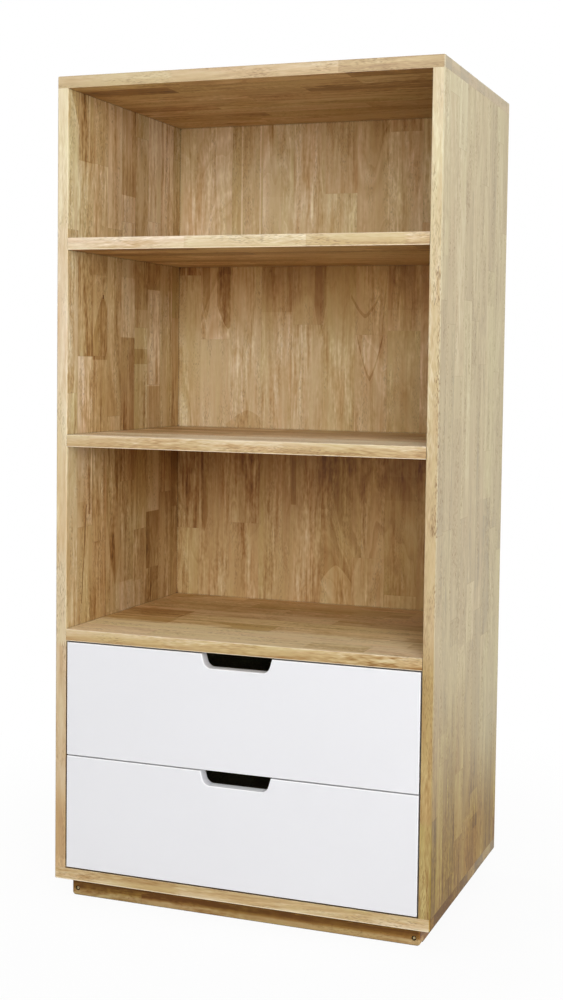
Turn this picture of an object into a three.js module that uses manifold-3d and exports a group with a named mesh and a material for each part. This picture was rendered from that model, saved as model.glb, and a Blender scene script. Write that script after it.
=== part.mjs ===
// A free-standing bookcase of finger-jointed rubberwood boards: three open bays above two inset drawers.
// Millimetres, +Z up. The origin is on the floor under the middle of the carcass, and the open front
// faces -Y. The drawers run out along -Y on three-part ball-bearing runners.

import * as THREE from "three";
import { mergeVertices } from "three/addons/utils/BufferGeometryUtils.js";
import Module from "manifold-3d";

const wasm = await Module();
wasm.setup();

// Carcass
const carcassWidth = 600;
const carcassDepth = 390;
const boardThickness = 18;
const drawerBayHeight = 352;
const lowerBayHeight = 278;
const middleBayHeight = 278;
const upperBayHeight = 222;

// Back panel, let into a rabbet that runs round the rear of the carcass
const backPanelThickness = 5;
const backRabbetWidth = 8;
const backPanelClearance = 0.3;
const backSeatClearance = 0.2;

// Recessed plinth
const plinthHeight = 30;
const plinthInset = 20;
const plinthBoardThickness = 18;

// Screws that hold the plinth's front and back boards to its side boards
const plinthScrewHeight = 11;
const plinthScrewLength = 45;
const plinthScrewTipLength = 5;
const plinthScrewShankRadius = 2;
const plinthScrewHeadRadius = 3.5;
const plinthScrewHeadLength = 2.4;
const plinthScrewRecess = 1.4;
const plinthScrewClearance = 0.3;

// Blind dowels in the carcass joints
const dowelRadius = 4;
const dowelLength = 30;
const dowelInFace = 10;
const dowelInset = 60;
const dowelClearance = 0.3;

// Drawers
const drawerReveal = 2;
const drawerFrontThickness = 18;
const drawerFrontEase = 1.2;
const drawerWallThickness = 12;
const drawerSideLength = 355;
const drawerSideHeight = 130;
const drawerSideRise = 14;
const drawerBottomThickness = 5;
const drawerBottomRise = 10;
const drawerGrooveDepth = 6;
const drawerGrooveClearance = 0.3;

// Finger cutout in the top edge of each drawer front
const cutoutTopWidth = 112;
const cutoutDepth = 21;
const cutoutSideLean = 6;
const cutoutCornerRadius = 10;

// Runners: a cabinet member, a middle member that carries the balls, and a drawer member
const runnerLength = 350;
const runnerSetback = 3;
const runnerCentreRise = 79;
const runnerThickness = 12.7;
const runnerHeight = 45;
const runnerSheet = 1.2;
const runnerLipDepth = 2.6;
const runnerFlangeGap = 0.8;
const ballTrackHeight = 3.2;
const ballTrackWidth = 4;
const ballTrackClearance = 0.3;
const middleWebClearance = 0.8;
const middleFlangeWidth = 7.4;

// How far every cutting tool reaches past the surface that it opens
const overrun = 1;

// Facets
const rodSides = 12;
const screwSides = 16;
const curveSteps = 6;
const easeSteps = 2;

// Places that follow from the sizes above
const halfWidth = carcassWidth / 2;
const halfDepth = carcassDepth / 2;
const frontFace = -halfDepth;
const rearFace = halfDepth;
const innerHalfWidth = halfWidth - boardThickness;
const bottomPanelLow = plinthHeight;
const bottomPanelTop = bottomPanelLow + boardThickness;
const dividerLow = bottomPanelTop + drawerBayHeight;
const dividerTop = dividerLow + boardThickness;
const middleShelfLow = dividerTop + lowerBayHeight;
const middleShelfTop = middleShelfLow + boardThickness;
const upperShelfLow = middleShelfTop + middleBayHeight;
const upperShelfTop = upperShelfLow + boardThickness;
const topPanelLow = upperShelfTop + upperBayHeight;
const topPanelTop = topPanelLow + boardThickness;
const backPanelFront = rearFace - backPanelThickness;
const shelfRear = backPanelFront - backSeatClearance;
const drawerFrontHeight = (drawerBayHeight - 3 * drawerReveal) / 2;
const drawerFrontWidth = 2 * (innerHalfWidth - drawerReveal);
const drawerFrontRear = frontFace + drawerFrontThickness;
const drawerBoxHalfWidth = innerHalfWidth - runnerThickness;
const drawerInnerHalfWidth = drawerBoxHalfWidth - drawerWallThickness;
const drawerSideRear = drawerFrontRear + drawerSideLength;
const drawerBottomLow = drawerSideRise + drawerBottomRise;
const drawerBottomTop = drawerBottomLow + drawerBottomThickness;
const lowerDrawerLevel = bottomPanelTop + drawerReveal;
const upperDrawerLevel = lowerDrawerLevel + drawerFrontHeight + drawerReveal;
const runnerFront = drawerFrontRear + runnerSetback;

const leftAndRight = [
  { name: "left", sign: -1 },
  { name: "right", sign: 1 },
];
const frontAndBack = [
  { name: "front", sign: -1 },
  { name: "back", sign: 1 },
];
const drawerLevels = [
  { name: "upper", level: upperDrawerLevel },
  { name: "lower", level: lowerDrawerLevel },
];

// Materials
const rubberwood = new THREE.MeshStandardMaterial({ color: 0xd3b183, roughness: 0.5, metalness: 0 });
const rubberwoodVeneer = new THREE.MeshStandardMaterial({ color: 0xc39f6e, roughness: 0.55, metalness: 0 });
const plinthWood = new THREE.MeshStandardMaterial({ color: 0xa5865a, roughness: 0.55, metalness: 0 });
const dowelWood = new THREE.MeshStandardMaterial({ color: 0xdcc39a, roughness: 0.7, metalness: 0 });
const whiteLacquer = new THREE.MeshStandardMaterial({ color: 0xe9eaee, roughness: 0.35, metalness: 0 });
const drawerWood = new THREE.MeshStandardMaterial({ color: 0xdac29a, roughness: 0.6, metalness: 0 });
const drawerPlywood = new THREE.MeshStandardMaterial({ color: 0xd8c4a0, roughness: 0.65, metalness: 0 });
const zincPlate = new THREE.MeshStandardMaterial({ color: 0xb9bcc0, roughness: 0.35, metalness: 1 });

const bookcase = new THREE.Group();

function addPiece(parent, name, geometry, material) {
  const mesh = new THREE.Mesh(geometry, material);
  mesh.name = name;
  parent.add(mesh);
  return mesh;
}

// A block that fills the ranges x, y and z, each given as [low, high].
function block(x, y, z) {
  const geometry = new THREE.BoxGeometry(x[1] - x[0], y[1] - y[0], z[1] - z[0]);
  geometry.translate((x[0] + x[1]) / 2, (y[0] + y[1]) / 2, (z[0] + z[1]) / 2);
  return geometry;
}

// A range that runs outwards from inner to outer on the side that sign names, put in rising order.
function outwardRange(sign, inner, outer) {
  return sign < 0 ? [-outer, -inner] : [inner, outer];
}

// A round rod from one point to another.
function rod(from, to, radius) {
  const along = new THREE.Vector3().subVectors(to, from);
  const geometry = new THREE.CylinderGeometry(radius, radius, along.length(), rodSides);
  const cylinderAxis = new THREE.Vector3(0, 1, 0);
  geometry.applyQuaternion(new THREE.Quaternion().setFromUnitVectors(cylinderAxis, along.normalize()));
  const middle = new THREE.Vector3().addVectors(from, to).multiplyScalar(0.5);
  geometry.translate(middle.x, middle.y, middle.z);
  return geometry;
}

// An outline drawn in X and Z, extruded from one Y to a higher one.
function extrudeAlongY(shape, fromY, toY, options = {}) {
  const geometry = new THREE.ExtrudeGeometry(shape, {
    depth: toY - fromY,
    steps: 1,
    bevelEnabled: false,
    curveSegments: curveSteps,
    ...options,
  });
  geometry.rotateX(Math.PI / 2);
  geometry.translate(0, toY, 0);
  return geometry;
}

function asSolid(geometry) {
  const bare = geometry.clone();
  bare.deleteAttribute("normal");
  bare.deleteAttribute("uv");
  const merged = mergeVertices(bare);
  return new wasm.Manifold(new wasm.Mesh({
    numProp: 3,
    vertProperties: new Float32Array(merged.attributes.position.array),
    triVerts: new Uint32Array(merged.index.array),
  }));
}

function asGeometry(solid) {
  const mesh = solid.getMesh();
  const geometry = new THREE.BufferGeometry();
  geometry.setAttribute("position", new THREE.BufferAttribute(new Float32Array(mesh.vertProperties), 3));
  geometry.setIndex(new THREE.BufferAttribute(new Uint32Array(mesh.triVerts), 1));
  geometry.computeVertexNormals();
  return geometry;
}

function cut(geometry, tools) {
  return asGeometry(tools.reduce((solid, tool) => solid.subtract(asSolid(tool)), asSolid(geometry)));
}

function join(geometries) {
  const [first, ...others] = geometries.map(asSolid);
  return asGeometry(others.reduce((solid, other) => solid.add(other), first));
}

// Blind dowels. Each one has a near end in the face of one board and a far end in the end grain
// of the other, and its hole is wider and longer than it by the dowel clearance.
const dowels = [];
for (const side of leftAndRight) {
  for (const end of frontAndBack) {
    const y = end.sign * (halfDepth - dowelInset);
    const faceX = side.sign * innerHalfWidth;
    const shelfLevels = { upper_shelf: upperShelfLow, middle_shelf: middleShelfLow, drawer_divider: dividerLow };
    for (const [shelf, low] of Object.entries(shelfLevels)) {
      dowels.push({
        name: `${shelf}_${side.name}_${end.name}_dowel`,
        start: new THREE.Vector3(faceX, y, low + boardThickness / 2),
        intoFace: new THREE.Vector3(side.sign, 0, 0),
      });
    }
    const sideCentreX = side.sign * (halfWidth - boardThickness / 2);
    dowels.push({
      name: `top_panel_${side.name}_${end.name}_dowel`,
      start: new THREE.Vector3(sideCentreX, y, topPanelLow),
      intoFace: new THREE.Vector3(0, 0, 1),
    });
    dowels.push({
      name: `bottom_panel_${side.name}_${end.name}_dowel`,
      start: new THREE.Vector3(sideCentreX, y, bottomPanelTop),
      intoFace: new THREE.Vector3(0, 0, -1),
    });
  }
}

function dowelRod(dowel, clearance) {
  const inFace = dowel.intoFace.clone().multiplyScalar(dowelInFace + clearance);
  const inEnd = dowel.intoFace.clone().multiplyScalar(dowelInFace - dowelLength - clearance);
  return rod(dowel.start.clone().add(inEnd), dowel.start.clone().add(inFace), dowelRadius + clearance);
}

function addDowels() {
  for (const dowel of dowels) {
    addPiece(bookcase, dowel.name, dowelRod(dowel, 0), dowelWood);
  }
}

function dowelHoles(namePart) {
  return dowels.filter((dowel) => dowel.name.includes(namePart)).map((dowel) => dowelRod(dowel, dowelClearance));
}

// The rabbet is cut by one frame-sized block that the back panel then fills with its clearance.
const backPanelHalfWidth = innerHalfWidth + backRabbetWidth - backPanelClearance;
const backPanelLow = bottomPanelTop - backRabbetWidth + backPanelClearance;
const backPanelTop = topPanelLow + backRabbetWidth - backPanelClearance;

function backRabbet() {
  const reach = backPanelHalfWidth + backPanelClearance;
  return block(
    [-reach, reach],
    [shelfRear, rearFace + overrun],
    [backPanelLow - backPanelClearance, backPanelTop + backPanelClearance],
  );
}

function addCarcass() {
  const fullDepth = [frontFace, rearFace];
  const top = block([-halfWidth, halfWidth], fullDepth, [topPanelLow, topPanelTop]);
  addPiece(bookcase, "top_panel", cut(top, [backRabbet(), ...dowelHoles("top_panel")]), rubberwood);

  const bottom = block([-halfWidth, halfWidth], fullDepth, [bottomPanelLow, bottomPanelTop]);
  addPiece(bookcase, "bottom_panel", cut(bottom, [backRabbet(), ...dowelHoles("bottom_panel")]), rubberwood);

  for (const side of leftAndRight) {
    const panel = block(outwardRange(side.sign, innerHalfWidth, halfWidth), fullDepth, [bottomPanelTop, topPanelLow]);
    const holes = dowelHoles(`_${side.name}_`);
    addPiece(bookcase, `${side.name}_side_panel`, cut(panel, [backRabbet(), ...holes]), rubberwood);
  }

  const shelves = { upper_shelf: upperShelfLow, middle_shelf: middleShelfLow, drawer_divider: dividerLow };
  for (const [name, low] of Object.entries(shelves)) {
    const shelf = block([-innerHalfWidth, innerHalfWidth], [frontFace, shelfRear], [low, low + boardThickness]);
    addPiece(bookcase, name, cut(shelf, dowelHoles(name)), rubberwood);
  }

  const panelWidth = [-backPanelHalfWidth, backPanelHalfWidth];
  const backPanel = block(panelWidth, [backPanelFront, rearFace], [backPanelLow, backPanelTop]);
  addPiece(bookcase, "back_panel", backPanel, rubberwoodVeneer);
}

// Plinth: the front and back boards run the full width and cover the ends of the side boards.
const plinthHalfWidth = halfWidth - plinthInset;
const plinthHalfDepth = halfDepth - plinthInset;
const plinthSideHalfLength = plinthHalfDepth - plinthBoardThickness;
const plinthScrewX = plinthHalfWidth - plinthBoardThickness / 2;

// A countersunk screw with its head towards -Y, or the hole for it where clearance isn't zero.
function plinthScrew(side, end, clearance) {
  const headRadius = plinthScrewHeadRadius + clearance;
  const shankRadius = plinthScrewShankRadius + clearance;
  const headFace = clearance > 0 ? -plinthScrewRecess - overrun : 0;
  const tip = plinthScrewLength + clearance;
  const profile = [
    new THREE.Vector2(0, headFace),
    new THREE.Vector2(headRadius, headFace),
    new THREE.Vector2(headRadius, clearance),
    new THREE.Vector2(shankRadius, plinthScrewHeadLength + clearance),
    new THREE.Vector2(shankRadius, tip - plinthScrewTipLength),
    new THREE.Vector2(0, tip),
  ];
  const points = clearance > 0 ? profile : profile.filter((point, index) => index !== 2);
  const geometry = new THREE.LatheGeometry(points, screwSides);
  geometry.translate(0, plinthScrewRecess - plinthHalfDepth, 0);
  if (end.sign > 0) {
    geometry.rotateZ(Math.PI);
  }
  geometry.translate(side.sign * plinthScrewX, 0, plinthScrewHeight);
  return geometry;
}

function addPlinth() {
  const height = [0, plinthHeight];
  for (const end of frontAndBack) {
    const depth = outwardRange(end.sign, plinthSideHalfLength, plinthHalfDepth);
    const board = block([-plinthHalfWidth, plinthHalfWidth], depth, height);
    const holes = leftAndRight.map((side) => plinthScrew(side, end, plinthScrewClearance));
    addPiece(bookcase, `plinth_${end.name}_board`, cut(board, holes), plinthWood);
  }
  for (const side of leftAndRight) {
    const width = outwardRange(side.sign, plinthHalfWidth - plinthBoardThickness, plinthHalfWidth);
    const board = block(width, [-plinthSideHalfLength, plinthSideHalfLength], height);
    const holes = frontAndBack.map((end) => plinthScrew(side, end, plinthScrewClearance));
    addPiece(bookcase, `plinth_${side.name}_board`, cut(board, holes), plinthWood);
    for (const end of frontAndBack) {
      addPiece(bookcase, `plinth_${end.name}_${side.name}_screw`, plinthScrew(side, end, 0), zincPlate);
    }
  }
}

// The outline of a drawer front, with the finger cutout open at its top edge.
function drawerFrontOutline() {
  const half = drawerFrontWidth / 2;
  const top = drawerFrontHeight;
  const floor = top - cutoutDepth;
  const mouth = cutoutTopWidth / 2;
  const foot = mouth - cutoutSideLean;
  const wallLength = Math.hypot(cutoutSideLean, cutoutDepth);
  const roundShare = cutoutCornerRadius / wallLength;
  const roundX = foot + cutoutSideLean * roundShare;
  const roundZ = floor + cutoutDepth * roundShare;
  const outline = new THREE.Shape();
  outline.moveTo(-half, 0);
  outline.lineTo(half, 0);
  outline.lineTo(half, top);
  outline.lineTo(mouth, top);
  outline.lineTo(roundX, roundZ);
  outline.quadraticCurveTo(foot, floor, foot - cutoutCornerRadius, floor);
  outline.lineTo(cutoutCornerRadius - foot, floor);
  outline.quadraticCurveTo(-foot, floor, -roundX, roundZ);
  outline.lineTo(-mouth, top);
  outline.lineTo(-half, top);
  outline.closePath();
  return outline;
}

function drawerFront() {
  const front = extrudeAlongY(drawerFrontOutline(), frontFace + drawerFrontEase, drawerFrontRear - drawerFrontEase, {
    bevelEnabled: true,
    bevelThickness: drawerFrontEase,
    bevelSize: drawerFrontEase,
    bevelOffset: -drawerFrontEase,
    bevelSegments: easeSteps,
  });
  const grooveHalfWidth = drawerInnerHalfWidth + drawerGrooveDepth;
  const groove = block(
    [-grooveHalfWidth, grooveHalfWidth],
    [drawerFrontRear - drawerGrooveDepth, drawerFrontRear + overrun],
    [drawerBottomLow - drawerGrooveClearance, drawerBottomTop + drawerGrooveClearance],
  );
  return cut(front, [groove]);
}

function addDrawer(name, level) {
  const drawer = new THREE.Group();
  drawer.position.z = level;
  bookcase.add(drawer);
  addPiece(drawer, `${name}_drawer_front`, drawerFront(), whiteLacquer);

  const length = [drawerFrontRear, drawerSideRear];
  const sideHeight = [drawerSideRise, drawerSideRise + drawerSideHeight];
  const grooveHeight = [drawerBottomLow - drawerGrooveClearance, drawerBottomTop + drawerGrooveClearance];
  for (const side of leftAndRight) {
    const wall = block(outwardRange(side.sign, drawerInnerHalfWidth, drawerBoxHalfWidth), length, sideHeight);
    const groove = block(
      outwardRange(side.sign, drawerInnerHalfWidth - overrun, drawerInnerHalfWidth + drawerGrooveDepth),
      [drawerFrontRear - overrun, drawerSideRear + overrun],
      grooveHeight,
    );
    addPiece(drawer, `${name}_drawer_${side.name}_side`, cut(wall, [groove]), drawerWood);
  }

  const inner = [-drawerInnerHalfWidth, drawerInnerHalfWidth];
  const backDepth = [drawerSideRear - drawerWallThickness, drawerSideRear];
  const back = block(inner, backDepth, [drawerBottomTop, drawerSideRise + drawerSideHeight]);
  addPiece(drawer, `${name}_drawer_back`, back, drawerWood);

  const bottomReach = drawerGrooveDepth - drawerGrooveClearance;
  const bottomHalfWidth = drawerInnerHalfWidth + bottomReach;
  const bottom = block(
    [-bottomHalfWidth, bottomHalfWidth],
    [drawerFrontRear - bottomReach, drawerSideRear],
    [drawerBottomLow, drawerBottomTop],
  );
  addPiece(drawer, `${name}_drawer_bottom`, bottom, drawerPlywood);
}

// A runner's section is drawn with u across from the carcass side towards the drawer, and v upwards
// from the runner's centre line. These two turn its outline into a bar on the left or right side.
function runnerOutline(sign, points) {
  return new THREE.Shape(points.map(([u, v]) => new THREE.Vector2(sign * (innerHalfWidth - u), v)));
}

function runnerBar(sign, points, fromY, toY) {
  return extrudeAlongY(runnerOutline(sign, points), fromY, toY);
}

function rectangle(lowU, highU, lowV, highV) {
  return [[lowU, lowV], [highU, lowV], [highU, highV], [lowU, highV]];
}

const outerHalf = runnerHeight / 2;
const outerInside = outerHalf - runnerSheet;
const middleOutside = outerInside - ballTrackClearance - ballTrackHeight;
const middleInside = middleOutside - runnerSheet;
const innerOutside = middleInside - ballTrackHeight - ballTrackClearance;
const outerFlangeEnd = runnerThickness - runnerSheet - runnerFlangeGap;
const middleWeb = runnerSheet + middleWebClearance;
const middleFlangeEnd = middleWeb + middleFlangeWidth;
const innerFlangeEnd = middleWeb + runnerSheet + middleWebClearance;
const ballTrackEnd = middleFlangeEnd - runnerSheet / 2;
const ballTrackStart = ballTrackEnd - ballTrackWidth;

// The cabinet member is a channel whose lips keep the outer ball rows in.
function cabinetMember(sign) {
  const lip = outerInside - runnerLipDepth;
  const upper = [
    [runnerSheet, outerInside],
    [outerFlangeEnd - runnerSheet, outerInside],
    [outerFlangeEnd - runnerSheet, lip],
    [outerFlangeEnd, lip],
    [outerFlangeEnd, outerHalf],
    [0, outerHalf],
  ];
  const lower = upper.map(([u, v]) => [u, -v]).reverse();
  return runnerBar(sign, [...lower, ...upper], runnerFront, runnerFront + runnerLength);
}

// The middle member is a channel with a ball row in its cage outside each flange at the rear, which
// stays in the cabinet member at full travel, and one inside each flange at the front, for the drawer's.
function middleMember(sign) {
  const rear = runnerFront + runnerLength;
  const centre = runnerFront + runnerLength / 2;
  const channel = [
    [middleWeb, -middleOutside],
    [middleFlangeEnd, -middleOutside],
    [middleFlangeEnd, -middleInside],
    [middleWeb + runnerSheet, -middleInside],
    [middleWeb + runnerSheet, middleInside],
    [middleFlangeEnd, middleInside],
    [middleFlangeEnd, middleOutside],
    [middleWeb, middleOutside],
  ];
  const bars = [runnerBar(sign, channel, runnerFront, rear)];
  const rootDepth = runnerSheet / 2;
  const outerRow = rectangle(ballTrackStart, ballTrackEnd, middleOutside - rootDepth, middleOutside + ballTrackHeight);
  const innerRow = rectangle(ballTrackStart, ballTrackEnd, middleInside - ballTrackHeight, middleInside + rootDepth);
  for (const flip of [-1, 1]) {
    const mirrored = (row) => row.map(([u, v]) => [u, flip * v]);
    bars.push(runnerBar(sign, mirrored(outerRow), centre, rear));
    bars.push(runnerBar(sign, mirrored(innerRow), runnerFront, centre));
  }
  return join(bars);
}

// The drawer member is a channel that opens towards the carcass, with its web on the drawer side.
function drawerMember(sign) {
  const webStart = runnerThickness - runnerSheet;
  const innerInside = innerOutside - runnerSheet;
  const channel = [
    [innerFlangeEnd, -innerOutside],
    [runnerThickness, -innerOutside],
    [runnerThickness, innerOutside],
    [innerFlangeEnd, innerOutside],
    [innerFlangeEnd, innerInside],
    [webStart, innerInside],
    [webStart, -innerInside],
    [innerFlangeEnd, -innerInside],
  ];
  return runnerBar(sign, channel, runnerFront, runnerFront + runnerLength);
}

function addRunners(name, level) {
  const runners = new THREE.Group();
  runners.position.z = level + runnerCentreRise;
  bookcase.add(runners);
  for (const side of leftAndRight) {
    const label = `${name}_${side.name}_runner`;
    addPiece(runners, `${label}_cabinet_member`, cabinetMember(side.sign), zincPlate);
    addPiece(runners, `${label}_middle_member`, middleMember(side.sign), zincPlate);
    addPiece(runners, `${label}_drawer_member`, drawerMember(side.sign), zincPlate);
  }
}

addCarcass();
addDowels();
addPlinth();
for (const drawer of drawerLevels) {
  addDrawer(drawer.name, drawer.level);
  addRunners(drawer.name, drawer.level);
}

export default bookcase;
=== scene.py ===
# %% [markdown]
# # A bookcase with bottom drawers
#
# The real object is a joiner's carcass of finger-jointed rubberwood boards, 18 mm thick, with three open
# bays above two white drawers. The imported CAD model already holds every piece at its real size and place.
# This lesson dresses that model: boards with eased arrises and a real grain, lacquered drawer fronts,
# rolled steel runners with their balls, and the small fasteners.
#
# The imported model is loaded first, and everything after it takes its sizes from the frame. That way no
# piece has to be fitted later, because each one is built from the box of the CAD node that it stands for.

import math

import bmesh
import bpy
from mathutils import Matrix, Vector


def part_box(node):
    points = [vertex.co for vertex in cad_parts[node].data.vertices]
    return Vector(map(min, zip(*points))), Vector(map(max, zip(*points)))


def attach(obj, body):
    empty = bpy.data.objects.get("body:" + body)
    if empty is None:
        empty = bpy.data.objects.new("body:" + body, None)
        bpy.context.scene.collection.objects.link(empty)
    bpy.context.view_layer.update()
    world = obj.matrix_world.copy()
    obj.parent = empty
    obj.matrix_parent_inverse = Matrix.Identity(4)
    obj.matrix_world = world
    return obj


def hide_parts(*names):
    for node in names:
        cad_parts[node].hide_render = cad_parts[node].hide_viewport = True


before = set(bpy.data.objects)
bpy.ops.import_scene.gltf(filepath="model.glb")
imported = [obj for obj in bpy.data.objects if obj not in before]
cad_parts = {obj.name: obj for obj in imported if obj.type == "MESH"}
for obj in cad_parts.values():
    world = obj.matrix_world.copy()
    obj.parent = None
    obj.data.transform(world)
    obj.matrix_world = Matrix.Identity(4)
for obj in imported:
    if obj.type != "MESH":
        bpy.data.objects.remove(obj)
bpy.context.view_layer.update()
scene = bpy.context.scene
MM = 0.001

# %% [markdown]
# ## The camera
#
# The photograph was taken from a little above the middle of the bookcase, with the camera held almost
# level, so that upright boards stay nearly upright. A camera could be turned by eye, but its place, its
# three angles and its lens can also be worked out from the corners of the carcass in the picture, and those
# values are written here.

# %% Stand the camera where the photograph was taken
camera_place = Vector((0.8347, -2.1296, 0.8237))
camera_turn = math.radians(19.34)
camera_tilt = math.radians(-3.11)
camera_lean = math.radians(0.83)
camera_shift = (-0.0585, -0.0550)
camera_lens = 52.35
camera_sensor = 36

camera_data = bpy.data.cameras.new("photo_camera")
camera_data.lens = camera_lens
camera_data.sensor_width = camera_sensor
camera_data.shift_x, camera_data.shift_y = camera_shift
camera = bpy.data.objects.new("photo_camera", camera_data)
camera.matrix_world = (
    Matrix.Translation(camera_place)
    @ Matrix.Rotation(camera_turn, 4, "Z")
    @ Matrix.Rotation(math.pi / 2 + camera_tilt, 4, "X")
    @ Matrix.Rotation(camera_lean, 4, "Z")
)
scene.collection.objects.link(camera)
scene.camera = camera
scene.view_settings.view_transform = "Standard"
print("camera is", round(camera_place.length, 2), "m from the middle of the foot")

# %% [markdown]
# ## Nodes without clutter
#
# A material is a network of nodes, and written out one by one it soon fills pages. Two small helpers keep
# it short: one adds a node and feeds its sockets, the other does one step of arithmetic. A value that is a
# socket gets a wire, and any other value is written on the socket itself.

# %% Helpers for node trees
def add_node(tree, kind, feeds=None, **settings):
    node = tree.nodes.new("ShaderNode" + kind)
    for name, value in settings.items():
        setattr(node, name, value)
    for socket, value in (feeds or {}).items():
        if isinstance(value, bpy.types.NodeSocket):
            tree.links.new(value, node.inputs[socket])
        else:
            node.inputs[socket].default_value = value
    return node


def calculate(tree, operation, *values):
    return add_node(tree, "Math", dict(enumerate(values)), operation=operation).outputs[0]


def shift_and_scale(tree, value, centre, scale):
    """(value - centre) * scale"""
    return calculate(tree, "MULTIPLY", calculate(tree, "SUBTRACT", value, centre), scale)


def smooth_step(tree, value, low, high, to_low=0.0, to_high=1.0):
    feeds = {"Value": value, "From Min": low, "From Max": high, "To Min": to_low, "To Max": to_high}
    return add_node(tree, "MapRange", feeds, interpolation_type="SMOOTHSTEP").outputs["Result"]


def linear(red, green, blue):
    """A colour given in the 0 to 255 steps of a picture, as the linear values that shaders use."""
    shares = [step / 255 for step in (red, green, blue)]
    return [s / 12.92 if s <= 0.04045 else ((s + 0.055) / 1.055) ** 2.4 for s in shares] + [1.0]


# %% [markdown]
# ## Light, floor and background
#
# The photograph shows soft daylight that comes low and from the front right, and reaches deep into the
# bays. Large area lamps give such light with soft shadows. Each lamp is named by the side that it stands
# on, and is placed by its bearing and its height over the horizon, as one would set up a studio. Their
# power is kept at a plain level, where a white front renders about as white as it is written. The
# background is white only for rays that the camera or a gloss sends out, so it adds no light, and the floor
# keeps a faint shadow of the bookcase.

# %% Lamps
studio_middle = Vector((0, 0, 0.7))
lamp_distance = 4.2
lamp_size = 1.8
lamps = {
    "window_front_right": (30, 14, 75),
    "window_right": (85, 2, 73),
    "ceiling_front_right": (30, 50, 34),
    "room_front": (5, 12, 36),
    "ceiling_front_left": (-45, 50, 26),
    "room_rear_left": (-120, 15, 60),
    "room_rear": (188, 20, 60),
}
for name, (bearing, elevation, power) in lamps.items():
    bearing, elevation = math.radians(bearing), math.radians(elevation)
    level = Vector((math.sin(bearing), -math.cos(bearing), 0)) * math.cos(elevation)
    direction = level + Vector((0, 0, math.sin(elevation)))
    light = bpy.data.lights.new(name, "AREA")
    light.size = lamp_size
    light.energy = power
    lamp = bpy.data.objects.new(name, light)
    lamp.location = studio_middle + direction * lamp_distance
    lamp.rotation_euler = (-direction).to_track_quat("-Z", "Y").to_euler()
    lamp.visible_camera = False
    scene.collection.objects.link(lamp)
print(len(lamps), "lamps,", sum(power for bearing, elevation, power in lamps.values()), "W in all")


# %% World: faint daylight for shading, white for the camera and for gloss
def seen_directly(tree):
    """1 for rays that show the background itself: the camera's, and those through gloss or glass."""
    path = add_node(tree, "LightPath").outputs
    seen = calculate(tree, "MAXIMUM", path["Is Camera Ray"], path["Is Glossy Ray"])
    return calculate(tree, "MAXIMUM", seen, path["Is Transmission Ray"])


daylight_strength = 0.06
world = bpy.data.worlds.new("studio")
world.use_nodes = True
world.node_tree.nodes.clear()
daylight = add_node(world.node_tree, "Background", {"Color": (1, 1, 1, 1), "Strength": daylight_strength})
backdrop = add_node(world.node_tree, "Background", {"Color": (1, 1, 1, 1), "Strength": 1.0})
chosen = add_node(world.node_tree, "MixShader", {
    "Fac": seen_directly(world.node_tree), 1: daylight.outputs[0], 2: backdrop.outputs[0],
})
add_node(world.node_tree, "OutputWorld", {"Surface": chosen.outputs[0]})
scene.world = world

# %% Floor: pale, fading to the white of the background a short way out
floor_size = 12
floor_grey = (0.86, 0.86, 0.86, 1)
shadow_radius = 0.3
clear_floor_radius = 1.1
shadow_strength = 0.06

floor_material = bpy.data.materials.new("floor")
floor_material.use_nodes = True
tree = floor_material.node_tree
tree.nodes.clear()
place = add_node(tree, "TexCoord").outputs["Object"]
distance = add_node(tree, "VectorMath", {0: place}, operation="LENGTH").outputs["Value"]
open_floor = smooth_step(tree, distance, shadow_radius, clear_floor_radius, 1 - shadow_strength, 1.0)
painted = add_node(tree, "BsdfDiffuse", {"Color": floor_grey})
white = add_node(tree, "Emission", {"Color": (1, 1, 1, 1), "Strength": 1.0})
whiteness = calculate(tree, "MULTIPLY", open_floor, seen_directly(tree))
mixed = add_node(tree, "MixShader", {"Fac": whiteness, 1: painted.outputs[0], 2: white.outputs[0]})
add_node(tree, "OutputMaterial", {"Surface": mixed.outputs[0]})

floor_mesh = bmesh.new()
bmesh.ops.create_grid(floor_mesh, x_segments=1, y_segments=1, size=floor_size / 2)
floor_data = bpy.data.meshes.new("floor")
floor_mesh.to_mesh(floor_data)
floor_mesh.free()
floor_data.materials.append(floor_material)
floor = bpy.data.objects.new("floor", floor_data)
scene.collection.objects.link(floor)


# %% [markdown]
# ## Rubberwood, part one: the staves
#
# A finger-jointed board is glued up from narrow staves that run with the grain. Each stave is a piece of
# another tree, so it has its own tone, and it ends at a joint somewhere along the board. Painting that would
# need an image, but it can be worked out: the board is cut across into lanes of one stave's width, and in
# each lane a Voronoi texture in one dimension cuts lengths at random places. Its cell colour is then the
# stave's own set of chances, and its distance to the edge draws the joint. The fingers of the joint are cut
# through the thickness, so they are straight lines on a face and a zigzag on the board's edge.

# %% A node group that finds the stave under each point
def new_group(name, takes, gives):
    """takes: socket name to default value, or to None for a vector. gives: socket name to socket type."""
    group = bpy.data.node_groups.new(name, "ShaderNodeTree")
    for socket, default in takes.items():
        kind = "NodeSocketVector" if default is None else "NodeSocketFloat"
        made = group.interface.new_socket(socket, in_out="INPUT", socket_type=kind)
        if default is not None:
            made.default_value = default
    for socket, kind in gives.items():
        group.interface.new_socket(socket, in_out="OUTPUT", socket_type="NodeSocket" + kind)
    return group, group.nodes.new("NodeGroupInput").outputs, group.nodes.new("NodeGroupOutput").inputs


def wire(tree, gives, values):
    for socket, value in values.items():
        tree.links.new(value, gives[socket])


finger_half_pitch = 2 * MM
finger_slope = 4.5
sway_waves = 19
lane_slide = 7.31
length_randomness = 0.85
joint_core, joint_fade = 0.1 * MM, 0.6 * MM


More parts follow.
